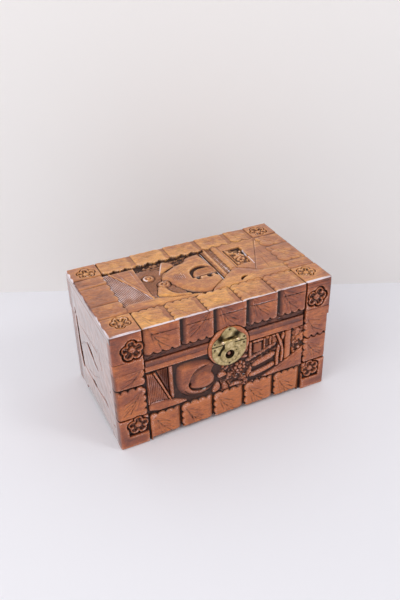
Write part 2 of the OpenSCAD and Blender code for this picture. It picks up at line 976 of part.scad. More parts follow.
module lid_top_board() {
    block = column_width - gutter / 2;
    mid = (top_border + depth - top_border) / 2;
    side_tile = mid - top_border - gutter;
    color(wood)
        union() {
            box_between([-lid_x, front_y, rail_top], [lid_x, back_y, height - carve_depth]);
            intersection() {
                union() {
                    on_top(column_width, 0)
                        tile_row(top_border, [0, 0, 3, 3]);
                    on_top(column_width, depth - top_border + 4)
                        tile_row(top_border - 4, [3, 0, 0, 0], true);
                    on_top(0, 0)
                        blossom_block(block, top_border, [23, 26]);
                    on_top(length - block, 0)
                        blossom_block(block, top_border, [block - 24, 26]);
                    on_top(0, depth - top_border)
                        blossom_block(block, top_border, [22, top_border - 20]);
                    on_top(length - block, depth - top_border)
                        blossom_block(block, top_border, [block - 22, top_border - 20]);
                    on_top(0, top_border + gutter / 2)
                        leaf_tile(block, side_tile, [0, 3, 0, 0], true);
                    on_top(0, mid + gutter / 2)
                        leaf_tile(block, side_tile, [0, 3, 0, 0], true);
                    on_top(length - block, top_border + gutter / 2)
                        leaf_tile(block, side_tile, [0, 0, 0, 3]);
                    on_top(length - block, mid + gutter / 2)
                        leaf_tile(block, side_tile, [3, 0, 0, 3]);
                    on_top()
                        top_scene();
                }
                box_between([-lid_x, front_y, rail_top], [lid_x, back_y, height]);
            }
        }
}

module lid_lining() {
    color(velvet)
        box_between(
            [-inner_x + felt_margin, lid_inner_front_y + felt_margin, rail_top - felt],
            [inner_x - felt_margin, lid_inner_back_y - felt_margin, rail_top]
        );
}

// ---- Lift-out tray ----

module tray_front() {
    color(pale_wood)
        box_between([-tray_x, tray_front_y, tray_bottom], [tray_x, tray_inner_front, tray_top]);
}

module tray_back() {
    color(pale_wood)
        box_between([-tray_x, tray_inner_back, tray_bottom], [tray_x, tray_back_y, tray_top]);
}

module tray_end() {
    difference() {
        box_between([tray_inner_x, tray_inner_front, tray_bottom], [tray_x, tray_inner_back, tray_top]);
        translate([tray_inner_x - cut, (tray_inner_front + tray_inner_back) / 2, tray_top])
            rotate([0, 90, 0])
                cylinder(r = notch_radius, h = tray_wall + 2 * cut);
    }
}

module tray_left_end() {
    color(pale_wood)
        mirror([1, 0, 0])
            tray_end();
}

module tray_right_end() {
    color(pale_wood)
        tray_end();
}

module tray_floor() {
    color(pale_wood)
        box_between([-tray_inner_x, tray_inner_front, tray_bottom], [tray_inner_x, tray_inner_back, cell_floor]);
}

module tray_long_divider() {
    color(pale_wood)
        box_between(
            [-tray_inner_x, divider_y - divider_thickness / 2, cell_floor],
            [tray_inner_x, divider_y + divider_thickness / 2, divider_top]
        );
}

module tray_front_divider() {
    color(pale_wood)
        box_between(
            [-divider_thickness / 2, tray_inner_front, cell_floor],
            [divider_thickness / 2, divider_y - divider_thickness / 2, divider_top]
        );
}

cell_pitch = 2 * tray_inner_x / back_cells;

module tray_back_dividers() {
    color(pale_wood)
        for (i = [1:back_cells - 1])
            translate([-tray_inner_x + i * cell_pitch, 0, 0])
                box_between(
                    [-divider_thickness / 2, divider_y + divider_thickness / 2, cell_floor],
                    [divider_thickness / 2, tray_inner_back, divider_top]
                );
}

// One velvet pad on the floor of each compartment.
module velvet_pad(x0, x1, y0, y1) {
    box_between(
        [x0 + felt_margin, y0 + felt_margin, cell_floor],
        [x1 - felt_margin, y1 - felt_margin, cell_floor + felt]
    );
}

module tray_linings() {
    half = divider_thickness / 2;
    color(velvet) {
        velvet_pad(-tray_inner_x, -half, tray_inner_front, divider_y - half);
        velvet_pad(half, tray_inner_x, tray_inner_front, divider_y - half);
        for (i = [0:back_cells - 1])
            velvet_pad(
                -tray_inner_x + i * cell_pitch + (i > 0 ? half : 0),
                -tray_inner_x + (i + 1) * cell_pitch - (i < back_cells - 1 ? half : 0),
                divider_y + half,
                tray_inner_back
            );
    }
}

front_board();
back_board();
left_end_board();
right_end_board();
bottom_board();
case_lining();
left_tray_runner();
right_tray_runner();
lower_lock_plate();
lower_plate_nails();
catch_knob();
left_hinge_case_leaf();
right_hinge_case_leaf();
hinge_case_screws();
left_hinge_pin();
right_hinge_pin();
lid_top_board();
lid_front_rail();
lid_back_rail();
lid_left_rail();
lid_right_rail();
lid_lining();
upper_lock_plate();
upper_plate_nails();
hasp_pin();
hasp();
left_hinge_lid_leaf();
right_hinge_lid_leaf();
hinge_lid_screws();
tray_front();
tray_back();
tray_left_end();
tray_right_end();
tray_floor();
tray_long_divider();
tray_front_divider();
tray_back_dividers();
tray_linings();
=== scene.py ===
import bpy
import bmesh
import math
from contextlib import contextmanager
import numpy as np
from mathutils import Matrix, Vector


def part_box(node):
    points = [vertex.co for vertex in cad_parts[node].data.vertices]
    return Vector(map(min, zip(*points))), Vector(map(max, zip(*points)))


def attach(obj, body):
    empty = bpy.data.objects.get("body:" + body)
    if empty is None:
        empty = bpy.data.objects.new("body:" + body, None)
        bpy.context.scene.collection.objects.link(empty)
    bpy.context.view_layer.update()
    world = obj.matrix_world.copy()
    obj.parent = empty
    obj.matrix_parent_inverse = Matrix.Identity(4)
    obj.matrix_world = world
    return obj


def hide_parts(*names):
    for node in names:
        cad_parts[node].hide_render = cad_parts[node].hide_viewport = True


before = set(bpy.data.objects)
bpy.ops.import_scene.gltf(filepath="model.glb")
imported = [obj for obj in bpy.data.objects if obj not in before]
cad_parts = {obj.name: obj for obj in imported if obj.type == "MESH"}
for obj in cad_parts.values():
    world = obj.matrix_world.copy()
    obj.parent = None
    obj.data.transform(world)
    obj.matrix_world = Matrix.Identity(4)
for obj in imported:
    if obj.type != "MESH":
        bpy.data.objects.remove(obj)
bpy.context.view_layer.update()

# ---- Front board of the case ----
# A camphor-wood plank, carved by hand with gouges: leaf tiles that overlap like
# shingles, a blossom in each lower corner, and a river scene sunk between them.
# The ground is cut back by 4.5 mm and stained nearly black before lacquering.

# Shapes are worked out in mm, and this brings them to metres. On a carved face u runs along
# the board from its left, and on the ends from the back. v runs up it, and on the top it
# runs from front to back.
MM = 0.001
front_low, front_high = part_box("front_board")
top_low, top_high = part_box("lid_top_board")
LENGTH = (top_high[0] - top_low[0]) / MM
LEFT_X = top_low[0] / MM
FRONT_Y = top_low[1] / MM
BACK_Y = top_high[1] / MM
TOP_Z = top_high[2] / MM
CARVE = 4.5  # depth of the cut-back ground below the face
PITCH = 0.75  # spacing of the points on a carved face


def smooth(x):
    """A soft step, 0 up to x = 0 and 1 from x = 1."""
    x = np.clip(x, 0.0, 1.0)
    return x * x * (3.0 - 2.0 * x)


def rect(x0, y0, x1, y1):
    return [(x0, y0), (x1, y0), (x1, y1), (x0, y1)]


def square_round(centre, reach):
    return rect(centre[0] - reach, centre[1] - reach, centre[0] + reach, centre[1] + reach)


def arc(centre, radius, angles):
    return [(centre[0] + radius * math.cos(a), centre[1] + radius * math.sin(a)) for a in angles]


def degrees(start, stop, step):
    return np.radians(np.arange(start, stop, step))


def rounded(points, rounds=3, closed=True):
    """Cuts the corners of an outline again and again, as a gouge would round them."""
    points = [np.array(p, float) for p in points]
    for _ in range(rounds):
        pairs = list(zip(points, points[1:] + points[:1] if closed else points[1:]))
        cut = [q for a, b in pairs for q in (0.75 * a + 0.25 * b, 0.25 * a + 0.75 * b)]
        points = cut if closed else [points[0]] + cut + [points[-1]]
    return [tuple(p) for p in points]


def stroke_distance(u, v, points):
    """Distance from a path of straight runs."""
    away = np.full(u.shape, 1e6)
    for (ax, ay), (bx, by) in zip(points, points[1:]):
        ex, ey = bx - ax, by - ay
        t = np.clip(((u - ax) * ex + (v - ay) * ey) / (ex * ex + ey * ey + 1e-12), 0, 1)
        away = np.minimum(away, np.hypot(u - ax - t * ex, v - ay - t * ey))
    return away


def inside_distance(u, v, points):
    """Distance in from an outline, negative outside it."""
    inside = np.zeros(u.shape, bool)
    for (ax, ay), (bx, by) in zip(points, points[1:] + points[:1]):
        if ay != by:
            inside ^= ((ay > v) != (by > v)) & (u < (bx - ax) * (v - ay) / (by - ay) + ax)
    away = stroke_distance(u, v, points + points[:1])
    return np.where(inside, away, -away)


def ripple(u, v, size, seed):
    """Smooth random waves, about one to each length of size, between -1 and 1."""
    table = np.random.default_rng(seed).uniform(-1, 1, (64, 64))
    a, b = u / size, v / size
    i, j = np.floor(a).astype(int), np.floor(b).astype(int)
    s, t = smooth(a - i), smooth(b - j)
    low = table[j % 64, i % 64] * (1 - s) + table[j % 64, (i + 1) % 64] * s
    high = table[(j + 1) % 64, i % 64] * (1 - s) + table[(j + 1) % 64, (i + 1) % 64] * s
    return low * (1 - t) + high * t


def scalloped(p, q, count, bulge):
    """One edge of a leaf tile: a straight run, or a row of round lobes with V notches."""
    p, q = np.array(p, float), np.array(q, float)
    if not count:
        return [tuple(p)]
    way = (q - p) / np.linalg.norm(q - p)
    out = np.array([way[1], -way[0]])
    chord = np.linalg.norm(q - p) / count
    radius = (chord * chord / 4 + bulge * bulge) / (2 * bulge)
    half = math.atan2(chord / 2, radius - bulge)
    steps = 10
    points = []
    for i in range(count):
        for k in range(steps):
            turn = half * (2 * k / steps - 1)
            along = chord * (i + 0.5) + radius * math.sin(turn)
            points.append(tuple(p + way * along + out * (radius * math.cos(turn) - radius + bulge)))
    return points


def leaf_veins(box, count, vein_way, luck):
    """A midrib bowed across a tile, and pairs of side veins: (points, width, depth) strokes."""
    x0, y0, x1, y1 = box
    w, h = x1 - x0, y1 - y0
    start = np.array((x0 + w * (0.14 if vein_way > 0 else 0.86), y0 + h * luck.uniform(0.8, 0.9)))
    end = np.array((x0 + w * (0.68 if vein_way > 0 else 0.26), y0 + h * luck.uniform(0.12, 0.22)))
    bow = np.array((-2.6 * vein_way, -3.6)) * luck.uniform(0.5, 1.2)
    strokes = [(rounded([start, (start + end) / 2 + bow, end], 3, False), 1.6, 0.85)]
    way = (end - start) / np.linalg.norm(end - start)
    for k in range(count):
        share = 0.04 + 0.7 * k / count
        root = start * (1 - share) + end * share + bow * 2 * share * (1 - share)
        for side in (-1, 1):
            turn = side * math.radians(24 + 9 * luck.uniform(-1, 1))
            branch = np.array((
                way[0] * math.cos(turn) - way[1] * math.sin(turn),
                way[0] * math.sin(turn) + way[1] * math.cos(turn),
            ))
            across = np.array((-branch[1], branch[0])) * side
            tip = root + branch * (0.55 - 0.45 * share) * luck.uniform(0.7, 1.15) * h
            elbow = (root + tip) / 2 + across * 1.3
            strokes.append((rounded([root + across * 0.9, elbow, tip], 2, False), 1.35, 0.62))
    return strokes


class Carving:
    """The face of one board while it is carved. Height is in mm, 0 at the face."""

    def __init__(self, left, right, bottom, top, pitch=PITCH, ground=-CARVE):
        self.us = np.linspace(left, right, round((right - left) / pitch) + 1)
        self.vs = np.linspace(bottom, top, max(2, round((top - bottom) / pitch) + 1))
        self.u, self.v = np.meshgrid(self.us, self.vs)
        self.height = np.full(self.u.shape, float(ground))
        self.tone = np.zeros(self.u.shape)
        # painted light on the lacquer: pale highlights and glints above 0, a painted shadow below 0
        self.painted_light = np.zeros(self.u.shape)
        self.rounding = np.zeros(self.u.shape)

    def near(self, points, margin=1.0):
        """The rows and columns of the grid that a form can reach."""
        us, vs = [p[0] for p in points], [p[1] for p in points]
        cols = slice(*np.searchsorted(self.us, [min(us) - margin, max(us) + margin]))
        rows = slice(*np.searchsorted(self.vs, [min(vs) - margin, max(vs) + margin]))
        return rows, cols

    def moat(self, at, inside, width=1.2, floor=-CARVE):
        """The dark line that the carver cuts down round a form, to set it off."""
        base = self.height[at]
        lower = base + (np.minimum(base, floor) - base) * smooth((width + inside) / (0.6 * width))
        self.height[at] = np.where((inside <= 0) & (inside > -width), lower, base)

    def raise_to(self, at, inside, face, wall, tone):
        """Brings a form up to its face where it stands above what is there already."""
        base = self.height[at]
        raised = base + (face - base) * smooth(inside / wall)
        grows = (inside > 0) & (face > base)
        self.height[at] = np.where(grows, raised, base)
        self.tone[at] = np.where(grows, tone, self.tone[at])
        self.painted_light[at] = np.where(grows, 0.0, self.painted_light[at])

    def rough(self, points, tallest, size=3.4, seed=0):
        """Ground left rough from the gouge, in small lumps and dents."""
        at = self.near(points)
        u, v = self.u[at], self.v[at]
        lumps = ripple(u, v, size, seed) + 0.6 * ripple(u, v, 0.5 * size, seed + 1)
        rise = tallest * smooth(0.35 + 0.9 * lumps) * smooth(inside_distance(u, v, points) / 1.5)
        self.height[at] = np.maximum(self.height[at], rise - CARVE)

    def form(self, points, top, wall=1.1, crown=0.0, crown_width=5.0, tone=0.0, soft=0, moat=0.0,
             line=-CARVE):
        """Leaves a form standing, with a steep wall and a top that may be crowned."""
        if soft:
            points = rounded(points, soft)
        at = self.near(points, 1 + moat)
        inside = inside_distance(self.u[at], self.v[at], points)
        if moat:
            self.moat(at, inside, moat, line)
        face = top - crown * (1 - smooth(inside / crown_width)) ** 1.5
        self.raise_to(at, inside, np.minimum(face, 0.0), wall, tone)

    def sink(self, points, floor, wall=1.0, soft=0):
        """Cuts a hollow down to a floor."""
        if soft:
            points = rounded(points, soft)
        at = self.near(points)
        inside = inside_distance(self.u[at], self.v[at], points)
        base = self.height[at]
        lower = base + (floor - base) * smooth(inside / wall)
        self.height[at] = np.where(inside > 0, np.minimum(base, lower), base)

    def cut(self, points, width, depth, soft=0):
        """One stroke of a V-gouge."""
        if soft:
            points = rounded(points, soft, closed=False)
        at = self.near(points, width)
        away = stroke_distance(self.u[at], self.v[at], points)
        self.height[at] -= depth * smooth(1 - away / (width / 2))

    def hatch(self, count, first, step, width, depth, soft=0):
        """Strokes in a row: the points of the first one, and how far each moves to the next."""
        for k in range(count):
            stroke = [(u + k * du, v + k * dv) for (u, v), (du, dv) in zip(first, step)]
            self.cut(stroke, width, depth, soft)

    def bar(self, points, width, top, soft=0, round_top=0.8, tone=0.0, moat=0.0):
        """A pole, rail or plank along a path, rounded across."""
        if soft:
            points = rounded(points, soft, closed=False)
        at = self.near(points, width + moat)
        inside = width / 2 - stroke_distance(self.u[at], self.v[at], points)
        if moat:
            self.moat(at, inside, moat)
        self.raise_to(at, inside, top - round_top * (1 - smooth(inside / (width / 2))), 0.9, tone)

    def paint_highlight(self, points, width, amount=0.8, soft=0):
        """A line of painted highlight: pale glints where the lacquer catches the light."""
        if soft:
            points = rounded(points, soft, closed=False)
        at = self.near(points, width)
        line = amount * smooth(1.4 - stroke_distance(self.u[at], self.v[at], points) / (width / 2))
        self.painted_light[at] = np.maximum(self.painted_light[at], line)

    def ribs(self, points, pitch, depth, lean=0.0, shine=0.0):
        """Fine parallel strokes, as on water and nets. shine paints a highlight along the crests."""
        at = self.near(points)
        u, v = self.u[at], self.v[at]
        inside = inside_distance(u, v, points)
        wave = u + lean * v + 0.5 * ripple(u, v, 9, 5)
        furrow = (0.5 - 0.5 * np.cos(2 * math.pi * wave / pitch)) * smooth(inside / 1.0)
        self.height[at] -= depth * furrow
        self.painted_light[at] = np.maximum(self.painted_light[at], shine * (1 - furrow) * (inside > 0))

    def dome(self, centre, radius, top, tone=0.0, moat=0.0):
        """A round boss on the ground."""
        at = self.near(square_round(centre, radius), 1 + moat)
        away = np.hypot(self.u[at] - centre[0], self.v[at] - centre[1]) / radius
        if moat:
            self.moat(at, (1 - away) * radius, moat)
        face = -CARVE + (top + CARVE) * np.sqrt(np.clip(1 - away**2, 0, 1))
        self.raise_to(at, (1 - away) * radius, face, 0.5, tone)

    def tile(self, box, lobes, dip="right", tone=0.0, seed=0, veins=4, bulge=3.4, fall=3.2, vein_way=1,
             line=-CARVE, vein=1.0, crown=1.1, painted_foot_shadow=0.0):
        """A leaf tile. lobes counts the scallops on its bottom, right, top and left edges.
        It dips under the next tile on its right or left, and has gouged veins. A shadow may be painted under
        its bottom lobes."""
        x0, y0, x1, y1 = box
        luck = np.random.default_rng(1000 + seed)
        inset = [bulge if n else 0 for n in lobes]
        corners = rect(x0 + inset[3], y0 + inset[0], x1 - inset[1], y1 - inset[2])
        sides = zip(corners, corners[1:] + corners[:1], lobes)
        outline = [point for p, q, n in sides for point in scalloped(p, q, n, bulge)]
        at = self.near(outline, 3)
        u, v = self.u[at], self.v[at]
        inside = inside_distance(u, v, outline)
        self.moat(at, inside, 1.0, line)
        to_dip = x1 - u if dip == "right" else u - x0
        face = -0.15 - fall * (1 - smooth(to_dip / 9.5)) ** 1.4 - 0.8 * (
            1 - np.clip(to_dip / (x1 - x0), 0, 1)
        )
        face = face - crown * (1 - smooth(inside / 3.4)) ** 1.5
        face = face + 0.28 * ripple(u, v, 7.0, seed) + 0.12 * ripple(u, v, 2.1, seed + 7)
        lean = vein_way * (0.9 + 0.15 * luck.uniform(-1, 1))
        face = face - 0.13 * (0.5 + 0.5 * np.sin((u * lean + v) * 2.7 + 1.5 * ripple(u, v, 12, seed)))
        for points, width, depth in leaf_veins(box, veins, vein_way, luck):
            face = face - vein * depth * smooth(1 - stroke_distance(u, v, points) / width)
        self.raise_to(at, inside, np.minimum(face, 0), 0.9, tone + 0.15 * luck.uniform(-1, 1))
        # a shadow painted along the foot of the bottom lobes, where the tiles overhang
        if painted_foot_shadow:
            foot_shadow = (abs(inside - 0.1) < 0.75) & (v < y0 + bulge + 0.6)
            self.painted_light[at] = np.where(foot_shadow, -painted_foot_shadow, self.painted_light[at])

    def blossom(self, centre, size, turn=90.0, well=2.6, shine=0.36, dish=-3.9, floor=-CARVE):
        """A blossom in a well: each petal is a raised loop, open to the lobed bud. shine paints a highlight
        on the petal rims.
        """
        petals, tone = 5, 0.1
        at = self.near(square_round(centre, size), 3 + well)
        du, dv = self.u[at] - centre[0], self.v[at] - centre[1]
        away = np.hypot(du, dv)
        luck = np.random.default_rng(int(centre[0] + 100 * centre[1]))
        face, outside, painted_glint = np.full(du.shape, -99.0), np.full(du.shape, 99.0), np.zeros(du.shape)
        for k in range(petals):
            angle = math.radians(turn + 360 * k / petals + luck.uniform(-7, 7))
            petal = size * luck.uniform(0.37, 0.43)
            pu = du * math.cos(angle) + dv * math.sin(angle) - size * 0.59
            pv = dv * math.cos(angle) - du * math.sin(angle)
            reach = np.hypot(pu, 0.94 * pv) / petal
            outside = np.minimum(outside, (reach - 1) * petal)
            rim = smooth(1.3 - abs(reach - 0.83) * petal / 1.05) * smooth((pu + 0.6 * petal) / 1.4)
            rim = rim * (0.9 + 0.1 * ripple(du, dv, 2.5, k))
            ridge = 1.3 * np.exp(-((pv / 0.8) ** 2)) * smooth(2.2 - 2.4 * reach)
            share = smooth((1.06 - reach) * petal / 0.8)
            loop = np.minimum(dish - (0.15 + dish) * rim + ridge, -0.1) * share + floor * (1 - share)
            face = np.where(reach < 1.06, np.maximum(face, loop), face)
            painted_glint = np.where(reach < 1.06, np.maximum(painted_glint, rim), painted_glint)
        base = self.height[at]
        sunk = base + (np.minimum(base, floor) - base) * smooth((well - outside) / 1.2)
        sunk = np.where(away < size * 0.7, np.minimum(sunk, floor), sunk)
        bud = size * 0.33 * (1 + 0.14 * np.cos(4 * np.arctan2(dv, du)))
        dome = -0.7 - 1.1 * (away / bud) ** 2 - 0.9 * np.exp(-((np.minimum(abs(du), abs(dv)) / 0.7) ** 2))
        dome = dome - 3.0 * smooth((away - bud + 0.8) / 0.8)
        face = np.where(away < bud, np.maximum(dome, floor), face)
        self.height[at] = np.maximum(sunk, face)
        self.tone[at] = np.where(face > sunk, tone, self.tone[at])
        # a highlight painted on the petal rims
        self.painted_light[at] = np.maximum(self.painted_light[at], shine * painted_glint * (face > -1.2) * (away > bud))

    def square(self, box, tone=0.0, line=-CARVE):
        """A plain raised corner block."""
        self.form(rect(*box), -0.2, tone=tone, moat=1.2, line=line)

    def soften_edges(self, radius, left=True, right=True, bottom=False, top=False, rubbed_and_highlit=False):
        """Rounds the board's own arrises. It isn't carving, so no stain gathers there. It may also paint a
        broken pale highlight along them.
        """
        away = np.full(self.u.shape, 1e3)
        for wanted, distance in (
            (left, self.u - self.us[0]), (right, self.us[-1] - self.u),
            (bottom, self.v - self.vs[0]), (top, self.vs[-1] - self.v),
        ):
            if wanted:
                away = np.minimum(away, distance)
        if rubbed_and_highlit:
            # a highlight painted along the arrises, broken and uneven in width
            width = 1.7 + 1.3 * ripple(self.u, self.v, 7.0, 91)
            line = smooth((width - away) / 0.9) * (self.height > -1.6)
            line = line * (0.72 + 0.5 * ripple(self.u, self.v, 16.0, 92))
            self.painted_light = np.where(line > 0, np.maximum(self.painted_light, line), self.painted_light)
        worn = radius - np.sqrt(np.maximum(radius**2 - np.maximum(radius - away, 0) ** 2, 0))
        self.rounding = np.where(away < radius, worn, 0)

    def face(self):
        return self.height - self.rounding

    def upright(self):
        """The points of a face that looks to the front, in mm."""
        return np.stack([self.u + LEFT_X, FRONT_Y - self.face(), self.v], axis=-1)

    def channels(self):
        """What the wood's material reads at each point."""
        patchy = self.tone + 0.55 * ripple(self.u, self.v, 19.0, 93)
        return {"cavity": self.cavity(), "depth": self.height, "tone": patchy, "painted_light": self.painted_light}

    def cavity(self):
        """How far each point lies below its near and its farther neighbours: stain gathers there, and the
        farther reach paints the shade that falls into hollows.
        """
        step = self.us[1] - self.us[0]
        total = 0
        for reach, share in ((1.4, 0.6), (4.5, 0.95)):
            half = int(3 * reach / step)
            kernel = np.exp(-0.5 * (np.arange(-half, half + 1) * step / reach) ** 2)
            kernel /= kernel.sum()
            wide = np.pad(self.height, half, mode="edge")
            wide = np.apply_along_axis(np.convolve, 0, wide, kernel, mode="valid")
            wide = np.apply_along_axis(np.convolve, 1, wide, kernel, mode="valid")
            total = total + share * (wide - self.height)
        return total


WORN_WALL = 2.2  # top part of a side wall, over which the colour of the face runs down
CREASE = math.radians(48)  # edges that turn more than this are shaded sharp


def new_object(name, data):
    made = bpy.data.objects.new(name, data)
    bpy.context.scene.collection.objects.link(made)
    return made


@contextmanager
def mesh_work(mesh):
    """Opens a mesh for editing, and writes it back."""
    work = bmesh.new()
    work.from_mesh(mesh)
    yield work
    work.to_mesh(mesh)
    work.free()


def smooth_outwards(work):
    """Turns every face outwards and shades it smooth."""
    bmesh.ops.recalc_face_normals(work, faces=work.faces)
    for face in work.faces:
        face.smooth = True


def grid_quads(index):
    """Quads between the neighbours of a grid of point numbers."""
    return np.stack([index[:-1, :-1], index[:-1, 1:], index[1:, 1:], index[1:, :-1]], axis=-1)


def carved_board(name, sheet, axis, rear, channels, solid=None):
    """Closes a carved sheet of points into a board: walls run along an axis to a flat rear."""
    quads = grid_quads(np.arange(sheet[..., 0].size).reshape(sheet.shape[:2]))
    quads = quads.reshape(-1, 4) if solid is None else quads[solid]
    mesh = bpy.data.meshes.new(name)
    mesh.from_pydata((sheet.reshape(-1, 3) * MM).tolist(), [], quads.tolist())
    for label, values in channels.items():
        layer = mesh.attributes.new(label, "FLOAT", "POINT")
        layer.data.foreach_set("value", values.astype(np.float32).ravel())
    with mesh_work(mesh) as work:
        bmesh.ops.delete(work, geom=[p for p in work.verts if not p.link_faces], context="VERTS")
        for face in work.faces:
            face.smooth = True
        worn = work.verts.layers.float.get("painted_light")
        for reach in (WORN_WALL * MM, 1.0):  # the worn part of the wall, then all the rest
            rim = [e for e in work.edges if e.is_boundary]
            made = bmesh.ops.extrude_edge_only(work, edges=rim)["geom"]
            for point in made:
                if isinstance(point, bmesh.types.BMVert):
                    step = rear - point.co[axis]
                    point.co[axis] += step * min(1.0, reach / max(abs(step), 1e-9))
                    # the walls carry no painted highlight or shadow
                    if worn:
                        point[worn] = 0.0
        bmesh.ops.remove_doubles(work, verts=work.verts, dist=1e-6)
        bmesh.ops.contextual_create(work, geom=[e for e in work.edges if e.is_boundary])
        bmesh.ops.recalc_face_normals(work, faces=work.faces)
    mesh.set_sharp_from_angle(angle=CREASE)
    return new_object(name, mesh)


def fit(piece, body, node):
    """The piece rides on its body, in place of the plain node, which is hidden."""
    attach(piece, body)
    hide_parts(node)


SEAM_Z = front_high[2] / MM
COLUMN = 39.5  # width of the border's side columns
LEFT_BLOCK, RIGHT_BLOCK = 39.8, 267  # inner sides of the corner blocks
PAST_LEFT, PAST_RIGHT = -3, LENGTH + 4  # forms at the ends of a board run past them
front = Carving(front_low[0] / MM - LEFT_X, front_high[0] / MM - LEFT_X, 0, SEAM_Z)
front.height += 0.25 * ripple(front.u, front.v, 3.0, 31)
front.rough(rect(141, 40, 268, 113), 2.7, seed=21)

# water in fine ribs on the left, a pole across it, and its bank
front.form([(41, 58), (72, 58), (55, 106), (41, 107)], -1.1, wall=0.8, tone=-0.1)
# shine paints highlights along the crests of the ribs
front.ribs([(41, 60), (71, 60), (55, 105), (41, 106)], 2.4, 1.0, lean=0.05, shine=0.5)
front.form([(55, 106), (72, 60), (77, 60), (77, 108), (55, 108)], -2.5, wall=0.8, tone=-0.5)
front.ribs([(57, 106), (73, 62), (77, 62), (77, 108), (57, 108)], 2.2, 1.1)
front.bar([(74.5, 60), (73.5, 108)], 6.0, -1.5, tone=0.1, moat=1.6)
front.bar([(52, 105), (61, 84), (72, 57)], 3.2, -0.4, tone=0.6, moat=1.3)
water_bank = [(41, 61), (58, 61), (76, 57), (94, 49), (96, 44), (41, 44)]
front.form(water_bank, -0.9, wall=1.6, crown=1.2, tone=0.1, soft=1, moat=1.0)

# a jar-shaped rock, with a hollow in it, deeper along its rim, and a gourd-shaped leaf
rock = [
    (82, 107), (80, 90), (80, 72), (87, 58), (100, 50), (118, 48), (132, 55), (138, 66), (139, 80),
    (134, 96), (124, 102), (108, 106),
]
hollow = [
    (95, 69), (99, 61), (107, 55.5), (121, 53.5), (132, 56), (138, 64), (140, 76), (134, 90), (122, 97),
    (108, 94), (99, 84),
]
crescent = [
    (95, 74), (98, 62), (107, 55.5), (121, 53.5), (132, 56), (138, 64), (140, 76), (137, 91), (129, 88),
    (128, 66), (112, 63), (103, 66), (100, 75),
]
gourd = [
    (97.5, 66), (103, 61), (111, 58.5), (121, 57.5), (129, 60), (134.5, 66), (134, 75), (127, 84),
    (117, 86), (108, 80), (102, 72),
]
front.form(rock, -0.3, wall=1.6, crown=2.9, crown_width=13, soft=2, tone=0.2, moat=2.0)
front.sink(hollow, -2.3, wall=3.0, soft=2)
front.sink(crescent, -4.8, wall=2.0, soft=2)
front.form(gourd, -0.3, wall=1.4, crown=1.8, crown_width=8, soft=2, tone=0.2)
front.hatch(5, [(104, 84), (108, 92)], [(3.4, 1.6), (4.4, 0.6)], 1.8, 1.1)
for stroke, width, depth in (
    ([(104, 67), (115, 66), (126, 72)], 1.6, 0.5),
    ([(110, 75), (120, 76), (129, 81)], 1.4, 0.4),
    ([(92, 62), (97, 54), (111, 49), (127, 49)], 2.2, 1.3),
    ([(89, 58), (96, 50), (108, 46)], 1.6, 0.8),
):
    front.cut(stroke, width, depth, soft=2)
for k in range(16):
    u, v = 87 + k * 29 % 13, 62 + k * 2.6
    front.cut([(u, v), (u + 0.9, v + 3.0)], 1.3, 0.6)

# leaves along the foot and a scroll above them, each with a few gouged veins
scroll = [(137, 68), (139, 73), (144, 75), (150, 73), (153, 67), (146, 66.5), (141, 65)]
low_leaf = [(153, 44), (156, 49), (163, 51.5), (171, 50.5), (179, 45)]
front.form(
    [(129, 43), (131, 54), (137, 61.5), (142, 58), (143, 46)], -0.5, crown=1.6, soft=2, tone=0.6, moat=1.2,
)
front.form(
    [(144, 44), (144, 55), (148, 59), (153, 52), (156, 44)], -0.9, crown=1.6, soft=2, tone=0.2, moat=1.2,
)
front.hatch(5, [(137, 58), (133, 48)], [(0.8, -1.5), (2.2, -0.6)], 1.3, 0.7)
front.hatch(5, [(148.5, 56), (146.5, 46)], [(0.4, -1.6), (2, 0)], 1.1, 0.6)
front.form(scroll, -0.5, crown=1.2, crown_width=4, soft=2, tone=0.3, moat=1.2)
front.cut([(138.5, 69), (144, 71.5), (151, 70)], 1.4, 0.7, soft=2)
front.cut([(143, 74), (146, 68)], 1.2, 0.5)
front.form(low_leaf, -0.9, crown=1.2, soft=2, tone=0.4, moat=1.2)
front.hatch(5, [(158, 51), (155, 45)], [(3.6, 0), (5, 0)], 1.2, 0.6)

# small leaves on the rough ground: the middle of each, and its turn
LEAF_LENGTH, LEAF_WIDTH = 7.8, 4.2
small_leaves = (
    (159, 79, 0.3), (155, 73, 1.2), (160, 67, 2.2), (157, 60, 0.6), (166, 61, 2.8), (173, 58, 0.2),
    (181, 59, 1.0), (182, 68, 2.0),
)
for k, (u, v, turn) in enumerate(small_leaves):
    middle = np.array((u, v))
    tip = np.array((math.cos(turn), math.sin(turn))) * LEAF_LENGTH / 2
    flank = np.array((-math.sin(turn), math.cos(turn))) * LEAF_WIDTH / 2
    leaf = [middle + tip, middle + flank, middle - tip, middle - flank]
    front.form(
        leaf, -1.9 - 0.3 * (k % 3), wall=0.9, crown=0.8, crown_width=2.5, soft=2,
        tone=0.5 * (k % 3) - 0.5, moat=0.8,
    )
    front.cut([middle + tip, middle - tip], 1.2, 0.6)
# two glints painted on the leaves
front.paint_highlight([(164, 61), (167.5, 62)], 1.1, 0.55)
front.paint_highlight([(176, 58), (179.5, 58)], 1.1, 0.55)

# a rosette of seven bosses round a middle one
ROSETTE = (171, 74)
bosses = arc(ROSETTE, 6.3, [0.5 + 2 * math.pi * k / 7 for k in range(7)])
for k, boss in enumerate(bosses):
    front.dome(boss, 3.0, -1.0 - 0.2 * (k % 3), tone=0.4 * (k % 2) - 0.1, moat=0.8)
front.dome(ROSETTE, 3.6, -0.6, tone=0.6, moat=0.9)
front.cut([(168.5, 74), (173.5, 74.5)], 1.1, 0.7)
front.cut([(171, 76.5), (171.2, 71.5)], 1.1, 0.7)

